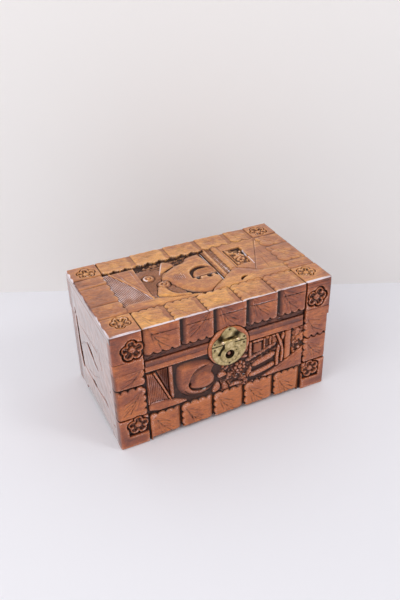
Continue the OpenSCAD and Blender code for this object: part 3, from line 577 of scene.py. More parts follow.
# a hut on posts, dark gaps below it, and two planks on a bracket
front.form(rect(182, 85, 223, 106), -3.6, wall=0.8, tone=-0.3)
front.bar([(180, 107), (224, 107)], 3.6, -0.8, tone=-0.1)
for u, width in ((186, 4.5), (207, 3.0), (216, 3.4)):
    front.bar([(u, 84), (u, 106)], width, -1.3, round_top=0.4, moat=1.4)
front.form(rect(191, 88, 203, 103), -1.8, wall=0.8, crown=0.5, tone=0.3, moat=1.2)
hut_floor = [(178, 82), (200, 88), (225, 97), (225, 92), (204, 84.5), (180, 77)]
front.form(hut_floor, -1.5, crown=0.7, soft=1, tone=-0.4, moat=1.2)
for gap in (
    [(181, 72), (190, 75), (201, 79), (224, 85), (224, 91), (203, 84), (181, 77)],
    [(188, 56), (187, 66), (201, 67.5), (224, 74), (224, 65), (201, 59)],
    [(182, 43), (182, 50), (201, 52), (224, 57), (224, 52), (204, 45)],
):
    front.sink(gap, -CARVE, wall=0.8)
bracket = [(180, 53), (182, 64), (189, 72), (191, 66), (188, 62), (191, 57), (187, 50)]
upper_plank = [(188, 70), (194, 75), (206, 78.5), (224, 83), (224, 73.5), (202, 67.5), (190, 66)]
lower_plank = [(184, 57), (192, 58.5), (206, 60), (224, 65.5), (224, 57), (202, 51.5), (186, 50)]
front.form(bracket, -1.1, crown=1.0, soft=2, moat=1.0)
front.form(upper_plank, -0.3, crown=1.3, soft=1, tone=0.1, moat=1.6)
front.form(lower_plank, -0.4, crown=1.3, soft=1, tone=0.3, moat=1.6)
front.hatch(3, [(192, 69), (210, 72), (223, 75.5)], [(3, 2.2), (0, 2.4), (0, 2.4)], 1.1, 0.4, soft=2)
front.hatch(3, [(188, 52), (206, 54), (223, 59)], [(3, 2.0), (0, 2.2), (0, 2.0)], 1.1, 0.4, soft=2)

# two crossed reeds, a post, and the bank that rises to the right
front.bar([(227, 58), (227, 82), (236, 106)], 5.0, -0.3, soft=3, tone=0.2, moat=1.8)
front.bar([(234, 62), (236, 82), (226, 108)], 4.4, -0.7, soft=3, tone=0.3, moat=1.6)
front.hatch(7, [(223.5, 62), (232, 67)], [(0, 6.2), (0, 6.2)], 1.3, 0.9)
front.bar([(242.5, 56), (242.5, 110)], 9.5, -0.7, round_top=0.6, tone=0.5, moat=1.6)
front.rough(rect(248, 64, 268, 113), 3.7, size=4.2, seed=24)
bank = [(200, 44), (214, 50), (230, 57), (248, 66), (267, 76), (267, 44)]
front.form(bank, -0.4, wall=1.5, crown=0.9, crown_width=7, tone=-0.2, moat=2.2)
front.cut([(208, 46), (236, 56), (264, 71)], 1.5, 0.5)
front.hatch(4, [(222, 49), (240, 58)], [(9, 0), (7, 3)], 1.2, 0.3)

# moulding under the rim, and the round pad that carries the lock
RIM_STRIP = 8.5
LOCK_U = 154  # middle of the lock
PAD_RADIUS = 29.5
rim_strip = rect(COLUMN, SEAM_Z - RIM_STRIP, LENGTH - COLUMN, SEAM_Z + 3)
front.form(rim_strip, -0.9, crown=0.6, crown_width=3, tone=0.45, moat=1.2)
front.cut([(COLUMN, SEAM_Z - 5), (LENGTH - COLUMN, SEAM_Z - 5)], 1.4, 0.35)


def lock_pad(board, centre_v):
    circle = arc((LOCK_U, centre_v), PAD_RADIUS, degrees(0, 360, 6))
    board.form(circle, 0.0, wall=1.0, crown=0.5, crown_width=2.5, tone=0.9, moat=0.9)


PAD_V = SEAM_Z - 4.5
lock_pad(front, PAD_V)

# border: bottom row, side columns and corner blossoms
# the bottom row is set high in tone: painted light, for the brighter light that falls on these tiles
bottom_row = ((42, 86.5, 0.9), (85.5, 133, 1.4), (132, 178.5, 1.8), (177.5, 224, 1.4), (223, 266, 1.7))
for k, (x0, x1, tone) in enumerate(bottom_row):
    front.tile((x0, -3, x1, 42.5), (0, 0, 4, 4 if k else 0), tone=tone, seed=k, bulge=2.6)
front.tile((PAST_LEFT, 46, LEFT_BLOCK, 93), (0, 4, 4, 0), dip="left", tone=0.3, seed=11, vein_way=-1)
front.tile(
    (PAST_LEFT, 94, LEFT_BLOCK, 119), (0, 2, 0, 0), dip="left", tone=0.2, seed=12, veins=2, vein_way=-1,
)
front.tile((RIGHT_BLOCK, 46, PAST_RIGHT, 87.5), (0, 0, 0, 4), seed=13)
front.tile((RIGHT_BLOCK - 1, 86, PAST_RIGHT, 122), (4, 0, 0, 3), tone=0.2, seed=14, veins=2)
front.square((0, 0, 40, 46), tone=-0.6)
front.square((RIGHT_BLOCK, 0, 306, 45), tone=-0.2)
front.sink(rect(12.5, 17.5, 39.5, 34), -4.3, wall=0.9)
front.sink(rect(268.5, 16.5, 295, 33), -4.3, wall=0.9)
front.blossom((26, 33), 14)
front.blossom((281.5, 32), 13.5, turn=100)
front.soften_edges(2.4)

FOOT_U, FOOT_V = 43, 5.5  # width and height of a foot
corner_u, corner_v = front.u[:-1, :-1], front.v[:-1, :-1]
between_feet = (corner_v < FOOT_V - 0.1) & (corner_u > FOOT_U) & (corner_u < LENGTH - FOOT_U)
INNER_Y = front_high[1]
RECESS = (LOCK_U, 102.7)
front.sink(arc(RECESS, 5.2, degrees(0, 360, 15)), -5.0, wall=0.8)
# the recess of the catch knob is painted black to its rim, for the shade in the drilled hole
stain_and_shade_map = front.channels()
stain_and_shade_map["cavity"][np.hypot(front.u - RECESS[0], front.v - RECESS[1]) < 6.2] = 3.0
front_board = carved_board("carved_front_board", front.upright(), 1, INNER_Y, stain_and_shade_map, ~between_feet)


def linear(hex_colour):
    """sRGB hex to the linear RGBA that Blender's sockets take."""
    parts = [int(hex_colour[i:i + 2], 16) / 255 for i in (1, 3, 5)]
    return (*[c / 12.92 if c <= 0.04045 else ((c + 0.055) / 1.055) ** 2.4 for c in parts], 1.0)


def add(tree, kind, inputs=None, stops=(), **settings):
    """Adds a node with its settings and colour stops. An input is set, or linked to a socket
    or to another node's first output."""
    node = tree.nodes.new(kind)
    for name, value in settings.items():
        setattr(node, name, value)
    for name, value in (inputs or {}).items():
        if isinstance(value, bpy.types.Node):
            value = value.outputs[0]
        if isinstance(value, bpy.types.NodeSocket):
            tree.links.new(value, node.inputs[name])
        else:
            node.inputs[name].default_value = value
    if stops:
        elements = node.color_ramp.elements
        while len(elements) < len(stops):
            elements.new(0.5)
        for element, (position, colour) in zip(elements, stops):
            element.position = position
            element.color = linear(colour)
    return node


def new_material(name):
    material = bpy.data.materials.new(name)
    material.use_nodes = True
    material.node_tree.nodes.clear()
    return material, material.node_tree


def per_metre(size):
    """The scale of a pattern whose marks are this many mm across."""
    return 1 / (size * MM)


# sizes in mm of the marks in the wood: across the grain, then along it. The pores are drawn
# coarser than they are, so that they show.
FIGURE, PORES = (18.18, 111.1), (1.111, 11.11)
# and of the marks that have no grain: clouds of stain, mottling, and specks of lacquer
BLOTCH, MOTTLE, SPECKLE = 31.25, 6.667, 1.5625
MIX_A, MIX_B, MIX_COLOUR = 6, 7, 2  # the colour sockets of a Mix node, which share their names


def camphor(name, pale, middle, deep, stain, grain_axis=0, rough=0.34, coat=0.6, coat_rough=0.12,
            coat_ior=1.5, cut_from=-1.8, cut_to=-4.2, sheen=0.0, cut_gloss=0.5, mottled=0.4, soak=0.88):
    """Stained and lacquered camphor wood. Streaks run along grain_axis, the stain gathers in the cuts
    with shade painted there too, and highlights and glints are painted pale along the arrises."""
    material, tree = new_material(name)
    place = add(tree, "ShaderNodeTexCoord").outputs["Object"]
    streaky = []
    for across, along in (FIGURE, PORES):
        scale = [per_metre(across)] * 3
        scale[grain_axis] = per_metre(along)
        streaky.append(add(tree, "ShaderNodeMapping", {"Vector": place, "Scale": scale}))
    noise = {}
    for label, vector, scale, detail, roughness, distortion in (
        ("figure", streaky[0], 1.0, 4.0, 0.6, 0.8),
        ("pores", streaky[1], 1.0, 3.0, 0.7, 0.0),
        ("blotch", place, per_metre(BLOTCH), 4.0, 0.6, 0.0),
        ("mottle", place, per_metre(MOTTLE), 3.0, 0.6, 0.0),
        ("speckle", place, per_metre(SPECKLE), 2.0, 0.7, 0.0),
        ("marks", streaky[0], 5.0, 2.0, 0.5, 0.0),
    ):
        noise[label] = add(
            tree, "ShaderNodeTexNoise",
            {
                "Vector": vector, "Scale": scale, "Detail": detail, "Roughness": roughness,
                "Distortion": distortion,
            },
        )
    tone, cavity, depth, painted_light = [
        add(tree, "ShaderNodeAttribute", attribute_name=label).outputs["Fac"]
        for label in ("tone", "cavity", "depth", "painted_light")
    ]
    mixed = add(tree, "ShaderNodeMath", {0: tone, 1: 0.16, 2: 0.4 - mottled}, operation="MULTIPLY_ADD")
    for label, share in (("figure", 0.6), ("blotch", 0.6), ("mottle", mottled), ("speckle", mottled)):
        mixed = add(tree, "ShaderNodeMath", {0: noise[label], 1: share, 2: mixed}, operation="MULTIPLY_ADD")
    highlight_patches = add(tree, "ShaderNodeMath", {0: painted_light, 1: noise["blotch"]}, operation="MULTIPLY")
    shade = {}
    for label, value, from_min, from_max, to_min, to_max in (
        ("paler", mixed, 0.98, 1.22, 0.0, 1.0),
        ("streak", noise["pores"], 0.32, 0.58, 0.62, 1.06),
        # high paints a highlight on ridges; low and cut darken with the stain in hollows and cuts and paint
        # the shade there too; the next mark is painted highlight, and sharp with specks paints glints
        ("high", cavity, -0.3, -1.7, 0.0, 0.7),
        ("low", cavity, -0.1, 1.5, 0.0, 0.95),
        ("cut", depth, cut_from, cut_to, 0.0, soak),
        ("rubbed_and_highlit", highlight_patches, 0.18, 0.42, 0.0, 0.9),
        ("sharp", cavity, -0.75, -1.7, 0.0, 1.0),
        ("specks", noise["speckle"], 0.5, 0.66, 0.0, 0.5),
    ):
        shade[label] = add(tree, "ShaderNodeMapRange", {
            "Value": value, "From Min": from_min, "From Max": from_max, "To Min": to_min, "To Max": to_max,
        })
    # stain with painted shade, and the shadow painted at the feet of lobes
    stain_and_shade = add(tree, "ShaderNodeMath", {0: shade["low"], 1: shade["cut"]}, operation="MAXIMUM")
    foot_shadow = add(tree, "ShaderNodeMath", {0: painted_light, 1: -1.0}, operation="MULTIPLY")
    stain_and_shade = add(tree, "ShaderNodeMath", {0: stain_and_shade, 1: foot_shadow}, operation="MAXIMUM")
    # painted glints on sharp ridges
    painted_glint = add(tree, "ShaderNodeMath", {0: shade["sharp"], 1: shade["specks"]}, operation="MULTIPLY")
    colour = add(tree, "ShaderNodeValToRGB", {"Fac": mixed}, [(0.70, deep), (0.98, middle), (1.0, middle)])
    # layers of colour: pale for the painted ridge highlight, the stain colour over stain and painted shade,
    # and lavender whites for the painted highlights and glints
    for share, coat_of, mode in (
        (shade["paler"], linear(pale), "MIX"),
        (1.0, shade["streak"], "MULTIPLY"),
        (shade["high"], linear(pale), "MIX"),
        (stain_and_shade, linear(stain), "MIX"),
        (shade["rubbed_and_highlit"], linear("#efe4ea"), "MIX"),
        (painted_glint, linear("#f0dde0"), "MIX"),
    ):
        layer = {0: share, MIX_A: colour, MIX_B: coat_of}
        colour = add(tree, "ShaderNodeMix", layer, data_type="RGBA", blend_type=mode).outputs[MIX_COLOUR]
    relief = add(
        tree, "ShaderNodeMath", {0: noise["pores"], 1: 0.5, 2: noise["marks"]}, operation="MULTIPLY_ADD",
    )
    bump = add(tree, "ShaderNodeBump", {"Height": relief, "Strength": 0.35, "Distance": 0.6 * MM})
    finish = {
        "Base Color": colour, "Coat Roughness": coat_rough, "Coat IOR": coat_ior, "Sheen Roughness": 0.3,
        "Normal": bump,
    }
    for socket, bare, in_cuts in (
        ("Roughness", rough, rough + 0.25),
        ("Coat Weight", coat, cut_gloss * coat),
        ("Specular IOR Level", 0.5, 0.5 * cut_gloss),
        ("Sheen Weight", sheen, 0.0),
    ):
        if bare:
            finish[socket] = add(
                tree, "ShaderNodeMapRange", {"Value": stain_and_shade, "To Min": bare, "To Max": in_cuts},
            )
    shader = add(tree, "ShaderNodeBsdfPrincipled", finish)
    add(tree, "ShaderNodeOutputMaterial", {"Surface": shader})
    return material


# Camphor under a red-brown stain and glossy lacquer: warm on the high places, nearly black
# where the stain has run into the cuts and shade is painted there too.
red_camphor = camphor(
    "lacquered camphor, red stain", "#ca6f30", "#9c4a23", "#642815", "#1c0c0a", coat=0.65, cut_from=-0.9,
)
front_board.data.materials.append(red_camphor)
fit(front_board, "case", "front_board")

# ---- Front rail of the lid ----
# Carved like the board below it: five leaf tiles whose scalloped ends hang over a
# deep dark groove, a moulding along the rim, and a blossom at each end.

rail_low, rail_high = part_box("lid_front_rail")
RAIL_TOP = rail_high[2] / MM
RIM_Z = rail_low[2] / MM


def carve_lid_front(board):
    strip = rect(COLUMN, RIM_Z - 3, LENGTH - COLUMN, RIM_Z + 8.5)
    board.form(strip, -1.2, crown=0.6, crown_width=3, tone=-1.2)
    board.form(rect(COLUMN, RIM_Z + 8, LENGTH - COLUMN, 140), -3.1, tone=-0.6)
    # gouge marks in the dark groove, each with a glint painted above it
    luck = np.random.default_rng(14)
    for k in range(26):
        u, v = luck.uniform(42, 262), luck.uniform(127.5, 134)
        slant = luck.uniform(-2.5, 2.5)
        board.cut([(u, v), (u + luck.uniform(3, 9), v + slant)], 3, 0.8)
        board.paint_highlight(
            [(u + 1, v + 1.2), (u + luck.uniform(1.5, 6), v + 1.2 + slant)], 0.9, luck.uniform(0.2, 0.9),
        )
    # the lid's tiles are set lower in tone, lowest to the right: painted shade, for the dimmer light on them
    lid_row = ((40.5, 89, 0.2), (90, 134, 0.1), (135, 179.5, 0.1), (180.5, 224.5, -0.1), (225.5, 267, -0.4))
    for k, (x0, x1, tone) in enumerate(lid_row):
        board.tile(
            (x0, 134, x1, TOP_Z + 6), (4, 0, 0, 0), dip="left", tone=tone, seed=20 + k,
            fall=4.2 if k else 1.5, vein_way=-1 if k == 1 else 1,
        )
    board.square((PAST_LEFT, RIM_Z - 3, LEFT_BLOCK, TOP_Z + 5), tone=-0.8)
    board.square((RIGHT_BLOCK, RIM_Z - 3, PAST_RIGHT, TOP_Z + 5), tone=-0.8)
    board.form(rect(PAST_LEFT, RIM_Z - 3, LEFT_BLOCK, 134), 0.0, tone=0.2)
    board.form(rect(RIGHT_BLOCK, RIM_Z - 3, PAST_RIGHT, 131), 0.0, tone=0.7)
    board.cut([(PAST_LEFT, 134.5), (40, 134.5)], 1.6, 1.2)
    board.cut([(266, 131.5), (PAST_RIGHT, 131.5)], 1.6, 1.2)
    board.blossom((26.5, 149.5), 14.5)
    board.blossom((284, 148.5), 14.5, turn=75)
    for v in (166, 171):
        board.cut([(268, v), (300, v)], 2.2, 0.8)
    # a ledge across each tile, with a highlight painted along it
    for x0, x1, shine in ((52, 86, 0.3), (97, 132, 0.35), (142, 178, 0.65), (186, 223, 0.6), (234, 264, 0.4)):
        board.cut([(x0, 163.0), (x1, 163.0)], 2.2, 1.3)
        board.paint_highlight([(x0 + 2, 165.0), ((x0 + x1) / 2, 164.6), (x1 - 4, 165.2)], 1.5, shine)
    board.height -= 1.3 * np.clip((board.v - RAIL_TOP) / (TOP_Z - RAIL_TOP), 0, 1) ** 2
    lock_pad(board, PAD_V)


lid_front = Carving(0, LENGTH, RIM_Z, RAIL_TOP)
lid_front.height += 0.5 * ripple(lid_front.u, 1.4 * lid_front.v, 5.0, 32)
carve_lid_front(lid_front)
lid_front.soften_edges(2.4)
LID_INNER_Y = rail_high[1]
lid_front_rail = carved_board(
    "carved_lid_front_rail", lid_front.upright(), 1, LID_INNER_Y, lid_front.channels(),
)
lid_front_rail.data.materials.append(red_camphor)
fit(lid_front_rail, "lid", "lid_front_rail")

# ---- End boards and end rails ----
# The ends are planed boards under the same lacquer, with a few leaf strokes cut
# across the board and the rail above it in one pass of the gouge.


def cut_end_strokes(board):
    planed = 0.05 * ripple(board.u, 0.3 * board.v, 3.0, 42)
    board.height += 0.12 * ripple(board.u, board.v, 9.0, 41) + planed - 0.17
    for outline, floor in (
        ([(20.5, 132), (27, 132), (27.5, 84), (36, 42), (29.5, 31), (20, 56), (19.5, 84)], -3.4),
        ([(62, 100), (71, 100), (90, 90), (88, 83), (66, 93)], -3.0),
        ([(84, 91), (108, 81), (104, 76), (82, 84)], -0.8),
        ([(68, 44), (89, 44), (88, 36), (72, 36)], -1.2),
        ([(110, 46), (128, 47), (136, 37), (126, 39)], -0.8),
    ):
        board.sink(outline, floor, wall=1.9, soft=2)
    for path, width, depth in (
        ([(38, 112), (74, 113), (109, 112)], 3.0, 0.42),
        ([(36, 41), (80, 39), (120, 42)], 3.8, 0.6),
        ([(34, 77), (48, 90), (63, 95)], 2.6, 0.5),
        ([(58, 50), (82, 54), (101, 66)], 2.6, 0.45),
        ([(122, 92), (118, 108), (120, 124)], 3.0, 0.4),
    ):
        board.cut(path, width, depth, soft=2)
    board.cut([(151, 24), (157, 25)], 3.0, 0.7)
    board.cut([(151, 78), (154, 81)], 3.0, 0.5)
    board.cut([(-5, RAIL_TOP), (190, RAIL_TOP)], 2.8, 0.7)


FOOT_DEPTH = 34


def carved_end(name, node, side, body, joint_y):
    """One end board or end rail. side is -1 on the left and 1 on the right."""
    low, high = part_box(node)
    outer, inner = (low, high) if side < 0 else (high, low)
    board = Carving(BACK_Y - joint_y[1] / MM, BACK_Y - joint_y[0] / MM, low[2] / MM, high[2] / MM, ground=0)
    cut_end_strokes(board)
    board.soften_edges(1.2, left=False, right=False, top=body == "case", bottom=body == "lid")
    corner_u, corner_v = board.u[:-1, :-1], board.v[:-1, :-1]
    between_feet = (corner_v < FOOT_V - 0.1) & (corner_u > FOOT_DEPTH)
    between_feet &= corner_u < BACK_Y - FRONT_Y - FOOT_DEPTH
    sheet = np.stack([outer[0] / MM + side * board.face(), BACK_Y - board.u, board.v], axis=-1)
    piece = carved_board(name, sheet, 0, inner[0], board.channels(), ~between_feet)
    piece.data.materials.append(end_camphor)
    fit(piece, body, node)


# Camphor planed flat under a thick glossy coat: broad reflections lie over the stain, so
# that the boards look redder and milkier than the carving.
end_camphor = camphor(
    "lacquered camphor, end boards", "#b5683e", "#8f4828", "#622e1b", "#1c0c0a", grain_axis=1,
    rough=0.24, coat=1.0, coat_rough=0.1, coat_ior=1.8, sheen=1.0, cut_gloss=0.02, cut_from=-0.38,
    cut_to=-0.9,
)
end_joints = (INNER_Y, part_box("back_board")[0][1])
rail_joints = (rail_high[1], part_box("lid_back_rail")[0][1])
for side, label in ((-1, "left"), (1, "right")):
    carved_end(f"carved_{label}_end", f"{label}_end_board", side, "case", end_joints)
    carved_end(f"carved_{label}_rail", f"lid_{label}_rail", side, "lid", rail_joints)

# ---- Top board of the lid ----
# One wide plank glued down on the rails. Its border repeats the leaf tiles, and
# the sunk middle shows water, a sampan with an arched cabin, posts and a sail.
# Its upper face is painted a lighter golden brown, as lit from above, and its front edge is carved with the
# rail.

TOP_PITCH = 0.78  # a little wider, which keeps this large board under 200,000 triangles
top = Carving(0, LENGTH, 0, BACK_Y - FRONT_Y, pitch=TOP_PITCH)
top.height += 0.25 * ripple(top.u, top.v, 3.0, 33)

# under the border tiles, so that they part with shallow lines only
for u0, v0, u1, v1 in (
    (PAST_LEFT, -3, PAST_RIGHT, 38), (PAST_LEFT, 146, PAST_RIGHT, 180),
    (PAST_LEFT, -3, 37, 180), (269, -3, PAST_RIGHT, 180),
):
    top.form(rect(u0, v0, u1, v1), -1.3, wall=0.8)

# water on the left, with a pole across it, and the bank; highlights are painted along the ribs and the pole
top.form([(37, 57), (80, 57), (82, 140), (37, 140)], -1.7, wall=0.8, tone=-0.3)
top.ribs([(38, 58), (79, 58), (50, 139), (38, 139)], 2.4, 1.2, lean=0.25, shine=0.85)
top.form([(78, 62), (80, 62), (76, 140), (54, 140)], -1.5, wall=1.0, crown=0.6, tone=0.2)
top.bar([(80, 60), (66, 100), (48, 139)], 3.2, -0.7, soft=2, tone=0.3)
top.paint_highlight([(75, 76), (75, 139)], 1.4, 0.55)
top.paint_highlight([(62, 104), (59, 139)], 1.4, 0.55)
ground = [(80, 56), (124, 50), (122, 90), (118, 112), (108, 126), (92, 130), (80, 129)]
top.form(ground, -2.3, wall=1.0, tone=-0.2)
top.ribs(ground, 3.1, 0.9, lean=0.7, shine=0.5)
top.rough([(80, 118), (126, 118), (150, 122), (182, 130), (182, 150), (80, 150)], 1.7, seed=14)
near_bank = [(35, 36), (35, 61), (82, 60), (104, 54), (130, 47), (150, 40)]
top.form(near_bank, -0.8, crown=1.2, crown_width=7, soft=1, tone=0.4)

# the sampan, its arched cabin and the row of posts under it, with highlights painted along the hull, the
# mats, the dashes and the mast
boat = [
    (105, 98), (107, 92), (113, 83), (117, 71), (123, 59), (132, 50), (148, 41), (166, 46), (181, 60),
    (179, 138), (166, 138), (153, 134), (150, 126), (138, 124), (124, 117), (112, 110),
]
stern = [(106, 108), (113, 112), (125, 118), (136, 124), (131, 134), (124, 140), (119, 137)]
top.form(stern, -1.2, crown=1.0, soft=1, tone=0.1)
top.paint_highlight([(108, 110), (122, 137)], 1.5, 0.7)
top.form(boat, -0.4, wall=1.8, crown=1.8, crown_width=9, soft=1, tone=-0.1, moat=0.8)
top.cut([(108, 100), (124, 117), (150, 126), (156, 138)], 1.8, 0.6, soft=1)
top.paint_highlight([(118, 114), (134, 122), (150, 127)], 1.3, 0.6, soft=1)
cabin = [(142, 78)] + arc((161.5, 88), 19, degrees(180, -1, -15)) + [(180, 78)]
top.sink(cabin, -4.4, wall=1.6)
mats = [(145, 82), (181, 82), (181, 98), (172, 101), (160, 102), (151, 98), (146, 90)]
top.form(mats, -2.0, wall=2.2, tone=-0.3)
top.hatch(6, [(150, 82), (182, 84)], [(1.5, 3.6), (0, 3.2)], 1.5, 0.8)
for k in range(6):
    top.paint_highlight([(160 + 2 * k, 84 + 3.4 * k), (176, 85 + 3.2 * k)], 0.9, 0.35)
for u0, u1, v0 in (
    (146.5, 153, 72.5), (152, 163, 78.4), (162, 169.5, 72), (169, 174.5, 78.4), (173.5, 181, 73.5),
):
    top.sink([(u0, v0), (u1, v0), (u1, 80), (u0, 80.6)], -4.8, wall=0.6, soft=1)
top.paint_highlight([(154, 82.6), (161, 82.4)], 0.9, 0.5)
top.paint_highlight([(170, 82.4), (173, 82.4)], 0.9, 0.5)
for k in range(7):
    dash = [(118 + 2.5 * k, 84 + (k % 2) * 2), (119 + 2.5 * k, 94 + (k % 3) * 2)]
    top.cut(dash, 1.3, 0.7)
    top.paint_highlight([(x + 1.2, y) for x, y in dash], 0.9, 0.65)
top.hatch(4, [(112, 100), (128, 106), (142, 112)], [(5, -3), (5, -2), (4, -1)], 1.3, 0.4, soft=2)
top.paint_highlight([(180, 60), (180, 139)], 1.5, 0.8)

# a scroll of leaf at the bow, and two blossoms on the bank, each with a highlight painted on its rim
scroll = [
    (95, 86), (91, 74), (85, 63), (92, 55), (106, 49), (128, 45), (127, 52), (114, 56), (107, 62),
    (104, 72), (104, 84),
]
top.form(scroll, -0.6, crown=1.6, soft=2, tone=0.4, moat=1.4, line=-3.6)
top.cut([(93, 76), (94, 66), (104, 57)], 1.5, 0.6, soft=2)
top.cut([(97, 62), (108, 54), (122, 50)], 1.4, 0.5, soft=2)
for centre, reach, shine in (((91, 107), 8.2, 1.0), ((104, 85), 8.8, 0.55)):
    top.dome(centre, reach, -0.6, tone=-0.1, moat=1.4)
    top.sink(arc(centre, 4.6, np.arange(0, 6.2, 0.5)), -3.2, wall=1.4)
    top.dome(centre, 3.1, -0.9, tone=0.3)
    for a in np.arange(0.3, 6.3, 2 * math.pi / 7):
        way = np.array((math.cos(a), math.sin(a)))
        top.cut([centre + 4.0 * way, centre + reach * way], 1.2, 0.7)
    top.paint_highlight(arc(centre, 6.0, np.arange(1.4, 4.2, 0.3)), 1.9, shine)

# posts, the fretted window, and the sail on its slanting yard, with highlights painted on the ribs, along the
# posts, the window's gouges and the yard
top.form(rect(181, 58, 212, 147), -2.6, wall=0.8, tone=-0.2)
top.ribs(rect(182, 70, 200, 140), 3.2, 0.7, lean=0.3, shine=0.4)
for k in range(8):
    top.paint_highlight([(190, 82 + 7 * k), (197, 86 + 7 * k), (196, 88 + 7 * k)], 0.9, 0.5)
top.bar([(186, 66), (187, 145)], 5.5, -1.2)
top.bar([(202, 70), (203, 145)], 10, -0.8, tone=0.2)
top.paint_highlight([(194, 74), (193, 118)], 1.3, 0.6)
top.form(rect(207, 40, 271, 147), -1.1, wall=1.0)
top.sink([(209, 82), (231, 84), (236, 129), (209, 129)], -3.4, wall=1.0)
top.sink([(226, 112), (236, 96), (236, 129), (222, 129), (222, 124), (230, 124)], -4.5, wall=0.8)
top.rough([(211, 83), (230, 85), (234, 120), (211, 127)], 3.5, size=4.2, seed=12)
luck = np.random.default_rng(8)
for k in range(9):
    u, v = 214 + 6.4 * (k % 3) + luck.uniform(-2, 2), 89 + 12 * (k // 3) + luck.uniform(-3, 3)
    top.cut([(u, v), (u + luck.uniform(-3, 3), v + 5)], 1.6, 1.2)
    top.paint_highlight([(u + 1.5, v + 2), (u + 2.6, v + 3)], 0.9, 0.45)
top.bar([(213, 84), (213, 127)], 2.4, -1.2)
top.paint_highlight([(233, 78), (236, 118)], 1.4, 0.9)
top.cut([(226, 62), (243, 94), (264, 137)], 1.7, 0.9)
top.paint_highlight([(228, 64), (245, 95), (265, 135)], 1.1, 0.5)
top.cut([(246, 62), (249, 88)], 3.0, 0.4)
top.cut([(256, 70), (256, 110)], 1.5, 0.35)

# the hill in front, and the border of leaf tiles
hill = [(150, 41), (176, 60), (200, 80), (206, 80), (222, 68), (232, 58), (271, 44), (271, 36), (150, 36)]
foothill = [(186, 41), (204, 46), (222, 60), (232, 60), (271, 52), (271, 36), (186, 36)]
top.form(hill, -0.4, wall=1.4, crown=1.1, crown_width=9, soft=1, tone=0.2, moat=0.8)
top.form(foothill, -0.3, wall=1.2, crown=0.8, soft=1, tone=0.1)
top.sink([(196, 44), (197, 51), (202, 55), (208, 55), (210, 52), (203, 50)], -4.4, wall=0.8, soft=1)
top.sink(rect(39, 138.5, 188, 146.5), -CARVE, wall=2.0)
flat_leaf = {"veins": 3, "vein": 0.45, "crown": 0.6}
front_row = ((40, 82, 0.9), (82.5, 126, 0.7), (126.5, 173, 0.7), (173.5, 220.5, 0.6), (221, 266, 0.4))
for k, (x0, x1, tone) in enumerate(front_row):
    lobes = (0, 0, 4, 5 if k else 0)
    top.tile((x0, -9, x1, 41), lobes, tone=tone, seed=40 + k, fall=1.5, bulge=2.8, line=-2.2, **flat_leaf)
# the back row has a shadow painted under its lobes, darker on the left three
back_row = ((40.5, 89.5, 0.7), (90, 138.5, 0.9), (139, 187, 0.4), (187.5, 233.5, 0.8), (234, 266.5, 0.4))
for k, (x0, x1, tone) in enumerate(back_row):
    top.tile(
        (x0, 141.5, x1, 184), (2 if k == 4 else 3, 0, 0, 0), tone=tone, seed=50 + k, veins=3, fall=1.4,
        bulge=4.2, line=-1.5, vein=0.3, crown=0.2, painted_foot_shadow=0.95 if k < 3 else 0.5,
    )
left_column = ((41.5, 72, 2, 0.0), (72.5, 117.5, 3, -0.5), (118, 142, 2, 0.1))
for k, (y0, y1, lobes, tone) in enumerate(left_column):
    top.tile(
        (-8, y0, LEFT_BLOCK, y1), (0, lobes, 0, 0), dip="left", tone=tone, seed=60 + k, fall=1.0,
        bulge=2.6, line=-1.5, **flat_leaf,
    )
right_column = ((41.5, 62, 0, 2, -0.3), (62.5, 109.5, 3, 3, 0.0), (110, 141.5, 3, 2, 0.1))
for k, (y0, y1, below, lobes, tone) in enumerate(right_column):
    top.tile(
        (RIGHT_BLOCK - 1, y0, 312, y1), (below, 0, 0, lobes), tone=tone, seed=63 + k, fall=1.0, line=-1.5,
        **flat_leaf,
    )
corner_blocks = (
    ((PAST_LEFT, -3, LEFT_BLOCK, 41), (23, 26)), ((RIGHT_BLOCK - 1, -3, 308, 41), (281, 26)),
    ((PAST_LEFT, 142, LEFT_BLOCK, 179), (22, 156)), ((RIGHT_BLOCK, 142, 308, 179), (283, 157)),
)
for k, (box, centre) in enumerate(corner_blocks):
    top.square(box, tone=-0.2, line=-1.9)
    top.blossom(centre, 12.5, turn=108 + 25 * k, well=1.5, shine=0.42, dish=-3.0, floor=-3.4)
# a highlight painted along the rounded arrises
top.soften_edges(2.4, top=True, rubbed_and_highlit=True)
# the front arris: a highlight painted in a broad pale line
front_highlight = smooth((3.7 - top.v) / 1.0) * (top.height > -1.8) * (0.8 + 0.5 * ripple(top.u, top.v, 12.0, 94))
top.painted_light = np.where(front_highlight > 0, np.maximum(top.painted_light, front_highlight), top.painted_light)

# the front edge: lid-front carving below, a worn arris, then the top carving
ARRIS = 2.2
edge = Carving(0, LENGTH, RAIL_TOP, TOP_Z - ARRIS, pitch=TOP_PITCH)
carve_lid_front(edge)
edge.soften_edges(2.4)
arris_row = round(ARRIS / TOP_PITCH)
flat = slice(arris_row, None)
low_row, high_row = edge.face()[-1], top.face()[arris_row]
level = np.zeros((1, top.us.size))
